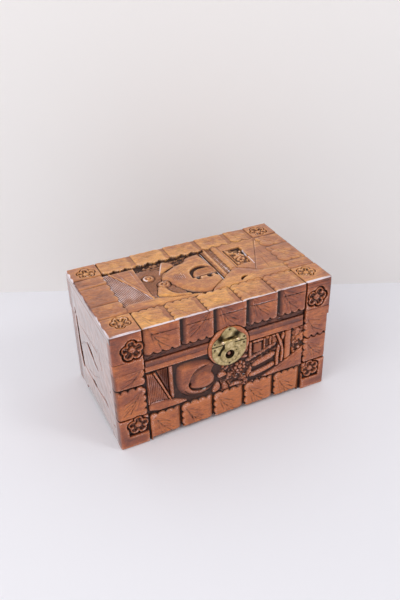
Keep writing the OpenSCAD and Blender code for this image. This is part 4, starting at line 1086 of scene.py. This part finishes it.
# each layer: points, depth, cavity, tone and painted light
layers = [(edge.upright(), edge.height, edge.cavity(), edge.tone, edge.painted_light)]
for angle in np.radians([18, 36, 54, 72]):
    share = angle / (math.pi / 2)
    height = low_row * (1 - share) + high_row * share
    reach = ARRIS + height
    points = np.stack([
        top.us + LEFT_X,
        FRONT_Y + ARRIS - reach * math.cos(angle),
        TOP_Z - ARRIS + reach * math.sin(angle),
    ], axis=-1)
    depth = edge.height[-1] * (1 - share) + top.height[arris_row] * share
    # a highlight painted along the rounded arris
    rubbed_and_highlit = (height > -1.8) * math.sin(2 * angle)
    layers.append((points[None], depth[None], level, edge.tone[-1:], rubbed_and_highlit[None]))
surface = np.stack([top.u + LEFT_X, FRONT_Y + top.v, TOP_Z + top.face()], axis=-1)
layers.append((surface[flat], top.height[flat], top.cavity()[flat], top.tone[flat], top.painted_light[flat]))
sheet, depth_map, hollow_map, tone_map, painted_light_map = [np.concatenate(parts) for parts in zip(*layers)]
# the end walls take their colour from the outer columns, and nothing is carved there
for column in (0, -1):
    depth_map[:, column] = 0
    hollow_map[:, column] = 0
top_board = carved_board(
    "carved_top_board", sheet, 2, RAIL_TOP * MM,
    {"cavity": hollow_map, "depth": depth_map, "tone": tone_map, "painted_light": painted_light_map},
)
# A lighter, golden copy of the same stain and lacquer for the faces that look up, painted
# lighter for the light that falls on a lid: golden on the high places, brown in the shallow cuts.
golden_camphor = camphor(
    "lacquered camphor, golden", "#e5a04c", "#b66c38", "#804328", "#24110c", coat=0.7, coat_ior=1.55,
    cut_from=-1.9, mottled=0.28, cut_gloss=0.35, soak=0.97,
)
for wood in (red_camphor, golden_camphor, end_camphor):
    top_board.data.materials.append(wood)
# golden above, painted lighter for the light from above, red on the carved front edge, and the coat of the
# end boards at both ends
for polygon in top_board.data.polygons:
    spot = polygon.center / MM
    on_top = TOP_Z - spot.z < min(spot.y - FRONT_Y, spot.x - LEFT_X, LENGTH + LEFT_X - spot.x)
    at_end = abs(polygon.normal.x) > 0.8 and min(spot.x - LEFT_X, LENGTH + LEFT_X - spot.x) < 1.0
    polygon.material_index = 2 if at_end else int(on_top)
fit(top_board, "lid", "lid_top_board")

# ---- Back boards, bottom and tray ----
# The back is plain and lacquered. The bottom board, the runners and the tray are
# of the same camphor wood, planed and left raw.

# Camphor under the same coat, less looked after: browner and duller in colour.
back_camphor = camphor(
    "lacquered camphor, back boards", "#a8694c", "#85492f", "#5e2f1c", "#1a0b08", coat=0.9,
)
# Camphor left as the plane leaves it: pale, dry and without a reflection.
raw_camphor = camphor(
    "planed camphor", "#d3a883", "#c0936c", "#a57750", "#6a4630", rough=0.6, coat=0.0,
)
EASED = 0.35  # width of an eased arris


def dress(mesh, material):
    mesh.materials.clear()
    mesh.materials.append(material)


def eased_copy(node, body, material):
    """A copy of a CAD board with its sharp arrises eased, as a planed board is sanded."""
    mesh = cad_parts[node].data.copy()
    with mesh_work(mesh) as work:
        bmesh.ops.remove_doubles(work, verts=work.verts, dist=1e-6)
        bmesh.ops.dissolve_limit(work, angle_limit=math.radians(1), verts=work.verts, edges=work.edges)
        sharp = [e for e in work.edges if len(e.link_faces) == 2 and e.calc_face_angle() > math.radians(40)]
        bmesh.ops.bevel(
            work, geom=sharp, offset=EASED * MM, segments=2, profile=0.5, affect="EDGES", clamp_overlap=True,
        )
        bmesh.ops.recalc_face_normals(work, faces=work.faces)
    dress(mesh, material)
    fit(new_object("planed_" + node, mesh), body, node)


eased_copy("back_board", "case", back_camphor)
eased_copy("lid_back_rail", "lid", back_camphor)
for name in (
    "tray_front", "tray_back", "tray_left_end", "tray_right_end", "tray_floor", "tray_long_divider",
    "tray_front_divider", "tray_back_dividers",
):
    eased_copy(name, "tray", raw_camphor)
for name in ("bottom_board", "left_tray_runner", "right_tray_runner"):
    dress(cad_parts[name].data, raw_camphor)

# ---- Lock plates ----
# Two stamped brass plates, one nailed to the lid and one to the case, meet at the rim.
# The brass has dulled to olive and is dark round the nails; shade and shadow are painted dark in its dishes,
# at its edges and about the hasp.

# Stamped brass sheet, dulled by handling: straw-coloured where it is rubbed, olive where it
# is cloudy, and nearly black where tarnish has gathered and where shade is painted on.
CLOUD = 6.667  # mm across a cloud in the brass
aged_brass, tree = new_material("aged brass")
place = add(tree, "ShaderNodeTexCoord").outputs["Object"]
cloud = add(tree, "ShaderNodeTexNoise", {
    "Vector": place, "Scale": per_metre(CLOUD), "Detail": 5.0, "Roughness": 0.65,
})
tarnish_and_shade = add(tree, "ShaderNodeAttribute", attribute_name="tarnish_and_shade").outputs["Fac"]
colour = add(
    tree, "ShaderNodeValToRGB", {"Fac": cloud}, [(0.3, "#82744a"), (0.5, "#cab482"), (0.68, "#efdcae")],
)
# the tarnish attribute also carries painted shade and shadow
blackened = {0: tarnish_and_shade, MIX_A: colour, MIX_B: linear("#1c140c")}
colour = add(tree, "ShaderNodeMix", blackened, data_type="RGBA").outputs[MIX_COLOUR]
dull = add(tree, "ShaderNodeMapRange", {
    "Value": cloud, "From Min": 0.3, "From Max": 0.7, "To Min": 0.46, "To Max": 0.28,
})
dull = add(tree, "ShaderNodeMath", {0: tarnish_and_shade, 1: 0.3, 2: dull}, operation="MULTIPLY_ADD")
bump = add(tree, "ShaderNodeBump", {"Height": cloud, "Strength": 0.3, "Distance": 0.3 * MM})
shader = add(tree, "ShaderNodeBsdfPrincipled", {
    "Base Color": colour, "Metallic": 1.0, "Roughness": dull, "Normal": bump,
})
add(tree, "ShaderNodeOutputMaterial", {"Surface": shader})

LOCK_X = LOCK_U + LEFT_X
PLATE_RADIUS = 24.5
PLATE_CENTRE = 109.5  # height of the lower plate's middle
EYE_Z = 102.7
EYE_RADIUS = 6.2
HASP_PIN_Z = 124.2
PIN_OUT = 3.3  # from the front to the pin's axis
NAIL_RING = 21.3
SHEET_BRASS = 1.0


def dip(x, z, spot, size, depth):
    """A soft round hollow, or a stain of that shape."""
    return depth * smooth(1 - np.hypot((x - spot[0]) / size[0], (z - spot[1]) / size[1]))


def pressed_plate(name, middle, turns, inner, outer, back_out, front_out, relief, stain, rings=44):
    """Sheet brass, built ring by ring round a middle point, so that its edge is true."""
    share = np.linspace(0, 1, rings)[:, None] ** 0.8
    reach = inner + (outer - inner) * share
    x = middle[0] + reach * np.cos(turns)
    z = middle[1] + reach * np.sin(turns)
    edge = np.minimum(outer - reach, np.where(inner > 0, reach - inner, 99))
    drop = relief(x, z) + 0.35 * (1 - smooth(edge / 0.9))
    front_face = np.stack([LOCK_X + x, FRONT_Y - front_out + drop, z], axis=-1)
    back_face = np.stack([LOCK_X + x, FRONT_Y - back_out + 0 * x, z], axis=-1)
    rows, cols = x.shape
    index = np.arange(2 * rows * cols).reshape(2, rows, cols)
    quads = []
    for side in (0, 1):
        faces = grid_quads(index[side]).reshape(-1, 4)
        quads += (faces if side else faces[:, ::-1]).tolist()
    for loop in (index[:, -1, :], index[:, 0, :], index[:, :, 0], index[:, :, -1]):
        quads += grid_quads(loop)[0].tolist()
    mesh = bpy.data.meshes.new(name)
    points = np.concatenate([front_face.reshape(-1, 3), back_face.reshape(-1, 3)]) * MM
    mesh.from_pydata(points.tolist(), [], quads)
    # tarnish and painted shade from the mark function, and shade painted along the outer edge
    marks = np.clip(stain(x, z) + 0.5 * (1 - smooth(edge / 0.7)), 0, 0.95).ravel()
    layer = mesh.attributes.new("tarnish_and_shade", "FLOAT", "POINT")
    layer.data.foreach_set("value", np.concatenate([marks, marks]).astype(np.float32))
    with mesh_work(mesh) as work:
        bmesh.ops.remove_doubles(work, verts=work.verts, dist=1e-6)
        bmesh.ops.dissolve_degenerate(work, edges=work.edges, dist=1e-7)
        twins = {}
        for face in work.faces:
            twins.setdefault(frozenset(v.index for v in face.verts), []).append(face)
        doubled = [f for group in twins.values() if len(group) > 1 for f in group]
        bmesh.ops.delete(work, geom=doubled, context="FACES")
        smooth_outwards(work)
    mesh.set_sharp_from_angle(angle=math.radians(50))
    mesh.materials.append(aged_brass)
    return new_object(name, mesh)


upper_nail_spots = arc((0, RIM_Z), NAIL_RING, np.radians([12, 90, 168]))
lower_nail_spots = [(-20.8, 114.1), (20.8, 114.1), (0, 88.2)]


def upper_relief(x, z):
    return dip(x, z, (-12.6, 129.6), (8.5, 7.5), 0.75) + dip(x, z, (11.2, 130.2), (8.5, 7.5), 0.75)


def upper_tarnish_and_shade(x, z):
    # dark in the two dishes: tarnish, darkened further as painted shade and reflection of the balls
    marks = dip(x, z, (-12.6, 129.2), (9.5, 10.5), 1.15) + dip(x, z, (10.6, 130.6), (10.5, 10.0), 1.1)
    # painted shade along the rim and in a band above the pin's roll
    marks = marks + 0.8 * smooth((RIM_Z + 1.1 - z) / 0.8) + dip(x, z, (0, 127.4), (10.0, 2.6), 1.2)
    # tarnish round the nails
    for spot in upper_nail_spots:
        marks = marks + dip(x, z, spot, (2.4, 2.4), 1.1)
    return np.clip(marks, 0, 0.95)


turns = degrees(0, 181, 2)
upper_plate = pressed_plate(
    "pressed_upper_plate", (0, RIM_Z), turns, np.zeros(turns.size),
    PLATE_RADIUS * (1 - 0.1 * (1 - np.cos(4 * turns))), 0, SHEET_BRASS, upper_relief, upper_tarnish_and_shade,
)
turns = degrees(0, 361, 2)
across, rise = np.cos(turns), np.sin(turns)
drop_to_eye = PLATE_CENTRE - EYE_Z
round_edge = drop_to_eye * rise + np.sqrt(PLATE_RADIUS**2 - (drop_to_eye * across) ** 2)
square_edge = np.minimum(
    PLATE_RADIUS / np.maximum(abs(across), 1e-6), (SEAM_Z - EYE_Z) / np.maximum(rise, 1e-6),
)
outer_edge = np.where((round_edge * rise > drop_to_eye) & (rise > 0), square_edge, round_edge)


def lower_tarnish_and_shade(x, z):
    # a shadow painted left of the hasp's neck, shade painted in the seam and inside the eye, a shadow painted
    # round the hasp's body, and tarnish round the nails
    shadow = stroke_distance(x, z, [(-6.0, 119.0), (-9.2, 113.5), (-14.6, 105.4)])
    marks = 0.95 * smooth((2.6 - shadow) / 0.8) + 0.8 * smooth((z - SEAM_Z + 1.3) / 0.8)
    marks = marks + 0.95 * smooth((EYE_RADIUS + 1.0 - np.hypot(x, z - EYE_Z)) / 0.7)
    marks = marks + 0.4 * smooth(1 - abs(np.hypot(x, z - EYE_Z) - 13.4) / 1.2) * (z < 112)
    for spot in lower_nail_spots:
        marks = marks + dip(x, z, spot, (2.4, 2.4), 1.1)
    return np.clip(marks, 0, 0.95)


lower_plate = pressed_plate(
    "pressed_lower_plate", (0, EYE_Z), turns, np.full(turns.size, 5.0), outer_edge, 0, SHEET_BRASS,
    lambda x, z: 0.0 * x, lower_tarnish_and_shade,
)
fit(lower_plate, "case", "lower_lock_plate")

# ---- Hasp, its pin and the catch knob ----
# The hasp is cut from thicker sheet, rolled round a pin with a ball on each end.
# Its eye drops over a turned knob that stands in a drilled recess.


def turned(profile, place, axis, sides=28):
    """A lathe-turned part: (distance, radius) pairs along an axis, closed at both ends."""
    axis = Vector(axis)
    side = axis.orthogonal().normalized()
    other = axis.cross(side)
    points, quads = [], []
    for distance, radius in profile:
        for k in range(sides):
            a = 2 * math.pi * k / sides
            points.append(
                (Vector(place) + axis * distance + (side * math.cos(a) + other * math.sin(a)) * radius) * MM
            )
    for i in range(len(profile) - 1):
        for k in range(sides):
            low, high = i * sides, (i + 1) * sides
            beside = (k + 1) % sides
            quads.append((low + k, low + beside, high + beside, high + k))
    last = (len(profile) - 1) * sides
    quads.append(tuple(range(sides))[::-1])
    quads.append(tuple(range(last, last + sides)))
    return points, quads


def brass_solid(name, parts, finish=aged_brass):
    """One mesh from several lists of points and faces."""
    points, quads = [], []
    for some_points, some_quads in parts:
        quads += [tuple(i + len(points) for i in quad) for quad in some_quads]
        points += [tuple(p) for p in some_points]
    mesh = bpy.data.meshes.new(name)
    mesh.from_pydata(points, [], quads)
    with mesh_work(mesh) as work:
        smooth_outwards(work)
    mesh.set_sharp_from_angle(angle=math.radians(40))
    mesh.materials.append(finish)
    return new_object(name, mesh)


def ball(radius, middle, stem):
    """The profile of a ball that starts on a stem."""
    turns = np.linspace(-stem, math.pi / 2, 12)
    return [(middle + radius * math.sin(t), max(0.02, radius * math.cos(t))) for t in turns]


def rubbed_metal(name, grain, stops, metallic, roughness):
    """A turned metal that fingers keep fairly bright, with faint marks of one size."""
    material, tree = new_material(name)
    place = add(tree, "ShaderNodeTexCoord").outputs["Object"]
    cloud = add(tree, "ShaderNodeTexNoise", {"Vector": place, "Scale": per_metre(grain), "Detail": 3.0})
    colour = add(tree, "ShaderNodeValToRGB", {"Fac": cloud}, stops)
    bump = add(tree, "ShaderNodeBump", {"Height": cloud, "Strength": 0.2, "Distance": 0.2 * MM})
    shader = add(tree, "ShaderNodeBsdfPrincipled", {
        "Base Color": colour, "Metallic": metallic, "Roughness": roughness, "Normal": bump,
    })
    add(tree, "ShaderNodeOutputMaterial", {"Surface": shader})
    return material


# Brass that is handled at every opening: clean, yellow and bright at its edges.
rubbed_brass = rubbed_metal("rubbed brass", 2.5, [(0.3, "#d0a878"), (0.65, "#f7e2c4")], 0.8, 0.24)
# A knob of copper gone pink-brown, duller than the brass round it.
tarnished_copper = rubbed_metal("tarnished copper", 2.0, [(0.3, "#8a5a48"), (0.65, "#d69c82")], 0.7, 0.38)


def join_meshes(main, *others):
    """Puts other objects' meshes into the main one, and removes those objects."""
    with mesh_work(main.data) as work:
        for other in others:
            work.from_mesh(other.data)
    main.data.set_sharp_from_angle(angle=math.radians(45))
    for other in others:
        bpy.data.objects.remove(other)


PIN_Y = FRONT_Y - PIN_OUT
PIN_PLACE = (LOCK_X, PIN_Y, HASP_PIN_Z)
PIN_END = 10.8
LUG_START, LUG_WIDTH, LUG_RADIUS, LUG_HALF = 7.3, 3.5, 2.0, 1.9
lugs = []
for side in (-1, 1):
    lug = [(0, 1.2), (0, LUG_RADIUS), (LUG_WIDTH, LUG_RADIUS), (LUG_WIDTH, 1.2)]
    lugs.append(turned(lug, (LOCK_X + side * LUG_START, PIN_Y, HASP_PIN_Z), (side, 0, 0)))
    corners = [
        Vector((
            LOCK_X + side * (LUG_START + LUG_WIDTH * i),
            FRONT_Y - PIN_OUT * j,
            HASP_PIN_Z + LUG_HALF * (2 * k - 1),
        )) * MM
        for i in (0, 1) for j in (0, 1) for k in (0, 1)
    ]
    lugs.append(
        (corners, [(0, 1, 3, 2), (4, 5, 7, 6), (0, 1, 5, 4), (2, 3, 7, 6), (0, 2, 6, 4), (1, 3, 7, 5)])
    )
join_meshes(upper_plate, brass_solid("hinge_lugs", lugs))
fit(upper_plate, "lid", "upper_lock_plate")

pin = [turned([(-PIN_END, 0.8), (PIN_END, 0.8)], PIN_PLACE, (1, 0, 0))]
pin += [turned(ball(2.3, PIN_END, 1.0), PIN_PLACE, (side, 0, 0)) for side in (-1, 1)]
fit(brass_solid("turned_hasp_pin", pin, rubbed_brass), "lid", "hasp_pin")
knob = turned(
    [(-5.0, 2.2), (-4.4, 2.2), (-4.0, 1.6)] + ball(2.8, -1.8, 0.96), (LOCK_X, FRONT_Y, EYE_Z), (0, -1, 0),
)
fit(brass_solid("turned_catch_knob", [knob], tarnished_copper), "case", "catch_knob")

HASP_RADIUS, NECK_HALF = 13.0, 7.0
neck = np.minimum(
    NECK_HALF / np.maximum(abs(across), 1e-6), (HASP_PIN_Z - EYE_Z - 0.6) / np.maximum(rise, 1e-6),
)
body_edge = HASP_RADIUS - 0.7 * np.abs(np.sin(2.5 * (turns - math.pi / 2))) ** 3
hasp_edge = np.maximum(np.where(rise > 0, neck, 0), body_edge)
hasp_edge = np.minimum(hasp_edge, np.where(rise > 0, np.maximum(neck, HASP_RADIUS), HASP_RADIUS))


def hasp_tarnish_and_shade(x, z):
    # shade painted just inside the eye's rim, and a small dark spot to its right
    away = np.hypot(x, z - EYE_Z)
    marks = 0.85 * smooth((EYE_RADIUS + 0.5 - away) / 0.5)
    return marks + dip(x, z, (9.5, 106.5), (1.5, 1.5), 1.0)


HASP_BACK, HASP_FRONT = 1.3, 2.5
hasp = pressed_plate(
    "hasp_sheet", (0, EYE_Z), turns, np.full(turns.size, EYE_RADIUS), hasp_edge, HASP_BACK, HASP_FRONT,
    lambda x, z: 0.45 * smooth((np.hypot(x, z - EYE_Z) - EYE_RADIUS - 1.9) / 0.8), hasp_tarnish_and_shade, rings=40,
)
roll = [(-7, 1.0), (-7, 1.7), (-6.7, 2.0), (6.7, 2.0), (7, 1.7), (7, 1.0)]
join_meshes(hasp, brass_solid("hasp_roll", [turned(roll, PIN_PLACE, (1, 0, 0))]))
fit(hasp, "hasp", "hasp")

# ---- Hinges, nails and screws ----
# Two butt hinges of sheet brass are let into the back. Round-headed brass nails hold
# the lock plates, and slotted countersunk screws hold the hinge leaves.
for name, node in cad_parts.items():
    if "hinge" in name and "screws" not in name:
        dress(node.data, aged_brass)

# Brass nail heads blackened by polish and dirt that no cloth reaches.
nail_brass, tree = new_material("blackened brass")
shader = add(tree, "ShaderNodeBsdfPrincipled", {
    "Base Color": linear("#4a3a26"), "Metallic": 0.7, "Roughness": 0.4,
})
add(tree, "ShaderNodeOutputMaterial", {"Surface": shader})
SIZES = ("Head Radius", "Head Height", "Shank Radius", "Shank Length")
SLOT = (6 * MM, 0.4 * MM, 0.8 * MM)  # a box that is cut from a screw's head


def fastener_tree(name, slotted, finish):
    """A node tree that sets one nail or screw on each point of a mesh, with its head at the point."""
    tree = bpy.data.node_groups.new(name, "GeometryNodeTree")
    tree.interface.new_socket("Geometry", in_out="INPUT", socket_type="NodeSocketGeometry")
    for label in SIZES:
        tree.interface.new_socket(label, in_out="INPUT", socket_type="NodeSocketFloat")
    tree.interface.new_socket("Turn", in_out="INPUT", socket_type="NodeSocketVector")
    tree.interface.new_socket("Geometry", in_out="OUTPUT", socket_type="NodeSocketGeometry")
    given = add(tree, "NodeGroupInput").outputs
    half = add(tree, "ShaderNodeMath", {0: given["Shank Length"], 1: -0.5}, operation="MULTIPLY")
    down = add(tree, "ShaderNodeCombineXYZ", {"Z": half})
    shank = add(tree, "GeometryNodeMeshCylinder", {
        "Vertices": 12, "Radius": given["Shank Radius"], "Depth": given["Shank Length"],
    })
    shank = add(tree, "GeometryNodeTransform", {"Geometry": shank, "Translation": down})
    if slotted:
        under = add(tree, "ShaderNodeMath", {0: given["Head Height"], 1: -1.0}, operation="MULTIPLY")
        sunk = add(tree, "ShaderNodeCombineXYZ", {"Z": under})
        head = add(tree, "GeometryNodeMeshCone", {
            "Vertices": 24, "Radius Top": given["Head Radius"], "Radius Bottom": given["Shank Radius"],
            "Depth": given["Head Height"],
        })
        head = add(tree, "GeometryNodeTransform", {"Geometry": head, "Translation": sunk})
        slot = add(tree, "GeometryNodeMeshCube", {"Size": SLOT})
        head = add(tree, "GeometryNodeMeshBoolean", {"Mesh 1": head, "Mesh 2": slot}, operation="DIFFERENCE")
    else:
        flat = add(
            tree, "ShaderNodeMath", {0: given["Head Height"], 1: given["Head Radius"]}, operation="DIVIDE",
        )
        squash = add(tree, "ShaderNodeCombineXYZ", {"X": 1.0, "Y": 1.0, "Z": flat})
        head = add(tree, "GeometryNodeMeshUVSphere", {
            "Segments": 20, "Rings": 10, "Radius": given["Head Radius"],
        })
        head = add(tree, "GeometryNodeTransform", {"Geometry": head, "Scale": squash})
    both = add(tree, "GeometryNodeJoinGeometry", {0: shank})
    tree.links.new(head.outputs[0], both.inputs[0])
    made = add(tree, "GeometryNodeTransform", {"Geometry": both, "Rotation": given["Turn"]})
    made = add(tree, "GeometryNodeInstanceOnPoints", {"Points": given["Geometry"], "Instance": made})
    made = add(tree, "GeometryNodeRealizeInstances", {"Geometry": made})
    made = add(tree, "GeometryNodeSetMaterial", {"Geometry": made, "Material": finish})
    add(tree, "NodeGroupOutput", {"Geometry": made})
    return tree


def set_fasteners(name, node, body, tree, spots, sizes, turn):
    """Runs a fastener tree on a list of points, and keeps the result as a plain mesh."""
    points = bpy.data.meshes.new(name + "_points")
    points.from_pydata([tuple(c * MM for c in spot) for spot in spots], [], [])
    carrier = new_object(name + "_points", points)
    modifier = carrier.modifiers.new("fasteners", "NODES")
    modifier.node_group = tree
    given = dict(zip(SIZES, (size * MM for size in sizes)), Turn=turn)
    for socket in tree.interface.items_tree:
        if socket.in_out == "INPUT" and socket.name in given:
            modifier[socket.identifier] = given[socket.name]
    made = carrier.evaluated_get(bpy.context.evaluated_depsgraph_get())
    mesh = bpy.data.meshes.new_from_object(made)
    mesh.name = name
    carrier.modifiers.clear()
    bpy.data.objects.remove(carrier)
    for polygon in mesh.polygons:
        polygon.use_smooth = True
    mesh.set_sharp_from_angle(angle=math.radians(40))
    fit(new_object(name, mesh), body, node)


round_nail = fastener_tree("round-headed nail", False, nail_brass)
slotted_screw = fastener_tree("slotted countersunk screw", True, aged_brass)
PLATE_FACE = FRONT_Y - SHEET_BRASS
nail_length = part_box("upper_plate_nails")[1][1] / MM - PLATE_FACE
for label, body, spots in (("upper", "lid", upper_nail_spots), ("lower", "case", lower_nail_spots)):
    set_fasteners(
        f"{label}_nails", f"{label}_plate_nails", body, round_nail,
        [(LOCK_X + x, PLATE_FACE, z) for x, z in spots], (1.3, 0.6, 0.8, nail_length),
        (math.pi / 2, 0.0, 0.0),
    )

for body in ("case", "lid"):
    low, high = [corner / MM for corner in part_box(f"hinge_{body}_screws")]
    head_z = high[2] if body == "case" else low[2]
    row_y = (low[1] + high[1]) / 2
    places = []
    for hand in ("left", "right"):
        leaf_low, leaf_high = [corner[0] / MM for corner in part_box(f"{hand}_hinge_{body}_leaf")]
        for side in (-1, 1):
            places.append(((leaf_low + leaf_high) / 2 + side * (leaf_high - leaf_low) / 3, row_y, head_z))
    set_fasteners(
        f"{body}_hinge_screws", f"hinge_{body}_screws", body, slotted_screw, places,
        (1.7, 0.8, 0.9, high[2] - low[2]), (0.0 if body == "case" else math.pi, 0.0, 0.5),
    )

# ---- Velvet linings ----
# Crimson cotton velvet on thin card, padded a little: one pad in the lid, one on the
# floor of the case, and one in each of the six cells of the tray.

# Cotton velvet: it reflects nothing sharply, and its pile is paler where it is brushed up
# and at a glancing look. The pile is drawn coarser than it is, so that it shows.
PILE, BRUSHED = 1.111, 22.22
velvet, tree = new_material("crimson velvet")
place = add(tree, "ShaderNodeTexCoord").outputs["Object"]
pile = add(tree, "ShaderNodeTexNoise", {"Vector": place, "Scale": per_metre(PILE), "Detail": 3.0})
brushed = add(tree, "ShaderNodeTexNoise", {"Vector": place, "Scale": per_metre(BRUSHED), "Detail": 2.0})
nap = add(tree, "ShaderNodeMath", {0: brushed, 1: 0.6, 2: pile}, operation="MULTIPLY_ADD")
colour = add(tree, "ShaderNodeValToRGB", {"Fac": nap}, [(0.5, "#3d0a10"), (1.0, "#7a1f29")])
bump = add(tree, "ShaderNodeBump", {"Height": pile, "Strength": 0.6, "Distance": 0.5 * MM})
shader = add(tree, "ShaderNodeBsdfPrincipled", {
    "Base Color": colour, "Roughness": 0.9, "Sheen Weight": 0.6, "Sheen Roughness": 0.4, "Normal": bump,
})
add(tree, "ShaderNodeOutputMaterial", {"Surface": shader})
FELT = (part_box("lid_lining")[1][2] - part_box("lid_lining")[0][2]) / MM
CROWN = 1.0  # height of the padding at the middle of a pad


def velvet_pad(name, low, high, base_z, way, seed):
    """A thin pad with rolled edges and a low crown. way is 1 for a pad that lies, -1 for one that hangs."""
    columns = np.linspace(low[0], high[0], max(20, round((high[0] - low[0]) / 2.5)))
    rows = np.linspace(low[1], high[1], max(20, round((high[1] - low[1]) / 2.5)))
    edge = np.array([0.0, 0.25, 0.6, 1.1])
    columns = np.unique(np.concatenate([columns, low[0] + edge, high[0] - edge]))
    rows = np.unique(np.concatenate([rows, low[1] + edge, high[1] - edge]))
    x, y = np.meshgrid(columns, rows)
    inside = np.minimum(np.minimum(x - low[0], high[0] - x), np.minimum(y - low[1], high[1] - y))
    rolled = np.sqrt(1 - (1 - np.clip(inside / 1.3, 0, 1)) ** 2)
    thick = 0.3 + (FELT - 0.3) * rolled + CROWN * smooth(inside / 16) * (0.85 + 0.15 * ripple(x, y, 24, seed))
    thick = thick + 0.09 * ripple(x, y, 6, seed + 1) * smooth(inside / 4)
    sheet = np.stack([x, y, base_z + way * thick], axis=-1)
    pad = carved_board(name, sheet, 2, base_z * MM, {})
    pad.data.materials.append(velvet)
    return pad


def lining(pad, node, body):
    fit(pad, body, node)


for node, body, way in (("case_lining", "case", 1), ("lid_lining", "lid", -1)):
    low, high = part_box(node)
    base = low[2] if way > 0 else high[2]
    pad = velvet_pad("velvet_" + node, low / MM, high / MM, base / MM, way, 71)
    lining(pad, node, body)

cell_left, cell_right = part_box("tray_left_end")[1][0] / MM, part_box("tray_right_end")[0][0] / MM
cell_front, cell_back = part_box("tray_front")[1][1] / MM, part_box("tray_back")[0][1] / MM
divider = [corner[1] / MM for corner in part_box("tray_long_divider")]
divider_half = (divider[1] - divider[0]) / 2
pads_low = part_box("tray_linings")[0]
GAP = pads_low[0] / MM - cell_left
FRONT_CELLS, BACK_CELLS = 2, 4
cells = []
for count, y0, y1 in ((FRONT_CELLS, cell_front, divider[0]), (BACK_CELLS, divider[1], cell_back)):
    width = (cell_right - cell_left) / count
    for k in range(count):
        x0 = cell_left + k * width + (divider_half if k else 0)
        x1 = cell_left + (k + 1) * width - (divider_half if k < count - 1 else 0)
        cells.append(((x0 + GAP, y0 + GAP), (x1 - GAP, y1 - GAP)))
pads = [
    velvet_pad(f"cell_pad_{k}", low, high, pads_low[2] / MM, 1, 80 + k)
    for k, (low, high) in enumerate(cells)
]
join_meshes(pads[0], *pads[1:])
pads[0].name = "velvet_tray_linings"
lining(pads[0], "tray_linings", "tray")

# ---- Table and wall ----
# A plain pale table top, and a painted wall close behind it that is square to the
# camera. The wall shows from its front only, so it hides nothing from behind.


def plain_sheet(name, corners, colour, one_sided=False):
    """A flat painted sheet, even and without gloss."""
    mesh = bpy.data.meshes.new(name)
    mesh.from_pydata(corners, [], [tuple(range(len(corners)))])
    material, tree = new_material(name + " paint")
    shader = add(tree, "ShaderNodeBsdfPrincipled", {"Base Color": linear(colour), "Roughness": 0.6})
    if one_sided:
        behind = add(tree, "ShaderNodeNewGeometry").outputs["Backfacing"]
        clear = add(tree, "ShaderNodeBsdfTransparent")
        shader = add(tree, "ShaderNodeMixShader", {0: behind, 1: shader, 2: clear})
    add(tree, "ShaderNodeOutputMaterial", {"Surface": shader})
    mesh.materials.append(material)
    new_object(name, mesh)


CAMERA_TURN, CAMERA_RISE, CAMERA_ROLL = math.radians(-24.88), math.radians(32.50), math.radians(-1.431)
along = Vector((math.cos(CAMERA_TURN), math.sin(CAMERA_TURN), 0))
away = Vector((-math.sin(CAMERA_TURN), math.cos(CAMERA_TURN), 0))
WALL_AWAY = 0.253  # metres from the frame's origin to the wall
REACH = 3  # metres that the table and the wall run each way
wall_left, wall_right = away * WALL_AWAY - along * REACH, away * WALL_AWAY + along * REACH
lift = Vector((0, 0, REACH))
table_corners = [(x, y, 0) for x, y in rect(-REACH, -REACH, REACH, REACH)]
plain_sheet("table", table_corners, "#ebebf0")
plain_sheet("wall", [wall_left, wall_right, wall_right + lift, wall_left + lift], "#f0edeb", one_sided=True)

# ---- Light and camera ----
# A bright, even room. One broad soft window stands high on the left and draws the long
# reflection on the end board; a small lamp in front lights the carving.
SKY = "#f2f1f4"
world = bpy.data.worlds.new("room")
bpy.context.scene.world = world
world.use_nodes = True
background = world.node_tree.nodes["Background"]
background.inputs["Color"].default_value = linear(SKY)
background.inputs["Strength"].default_value = 0.74


def soft_lamp(name, place, size, watts):
    """A square lamp aimed at the middle of the box."""
    data = bpy.data.lights.new(name, "AREA")
    data.shape = "SQUARE"
    data.size = size
    data.energy = watts
    lamp = new_object(name, data)
    lamp.location = place
    aim = Vector((0, 0, 0.1))
    lamp.rotation_euler = (aim - Vector(place)).to_track_quat("-Z", "Y").to_euler()


soft_lamp("window", (-1.1, -0.35, 1.2), 1.1, 8.3)
soft_lamp("lamp in front", (0.46, -0.70, 1.05), 0.24, 2.4)

CAMERA_AWAY, CAMERA_UP, CAMERA_SIDE = 0.9957, 0.11266, 0.0001  # metres from the point under the case
back = Vector((0, 0, math.sin(CAMERA_RISE))) - away * math.cos(CAMERA_RISE)
up = back.cross(along)
right = math.cos(CAMERA_ROLL) * along + math.sin(CAMERA_ROLL) * up
up = -math.sin(CAMERA_ROLL) * along + math.cos(CAMERA_ROLL) * up
camera_data = bpy.data.cameras.new("camera")
camera_data.lens = 41.21
camera_data.sensor_width = 36
camera = new_object("camera", camera_data)
case_middle = Vector((0, (FRONT_Y + BACK_Y) / 2 * MM, 0))
spot = case_middle + back * CAMERA_AWAY + right * CAMERA_SIDE + up * CAMERA_UP
camera.matrix_world = Matrix.Translation(spot) @ Matrix((right, up, back)).transposed().to_4x4()
bpy.context.scene.camera = camera
bpy.context.scene.view_settings.view_transform = "Standard"
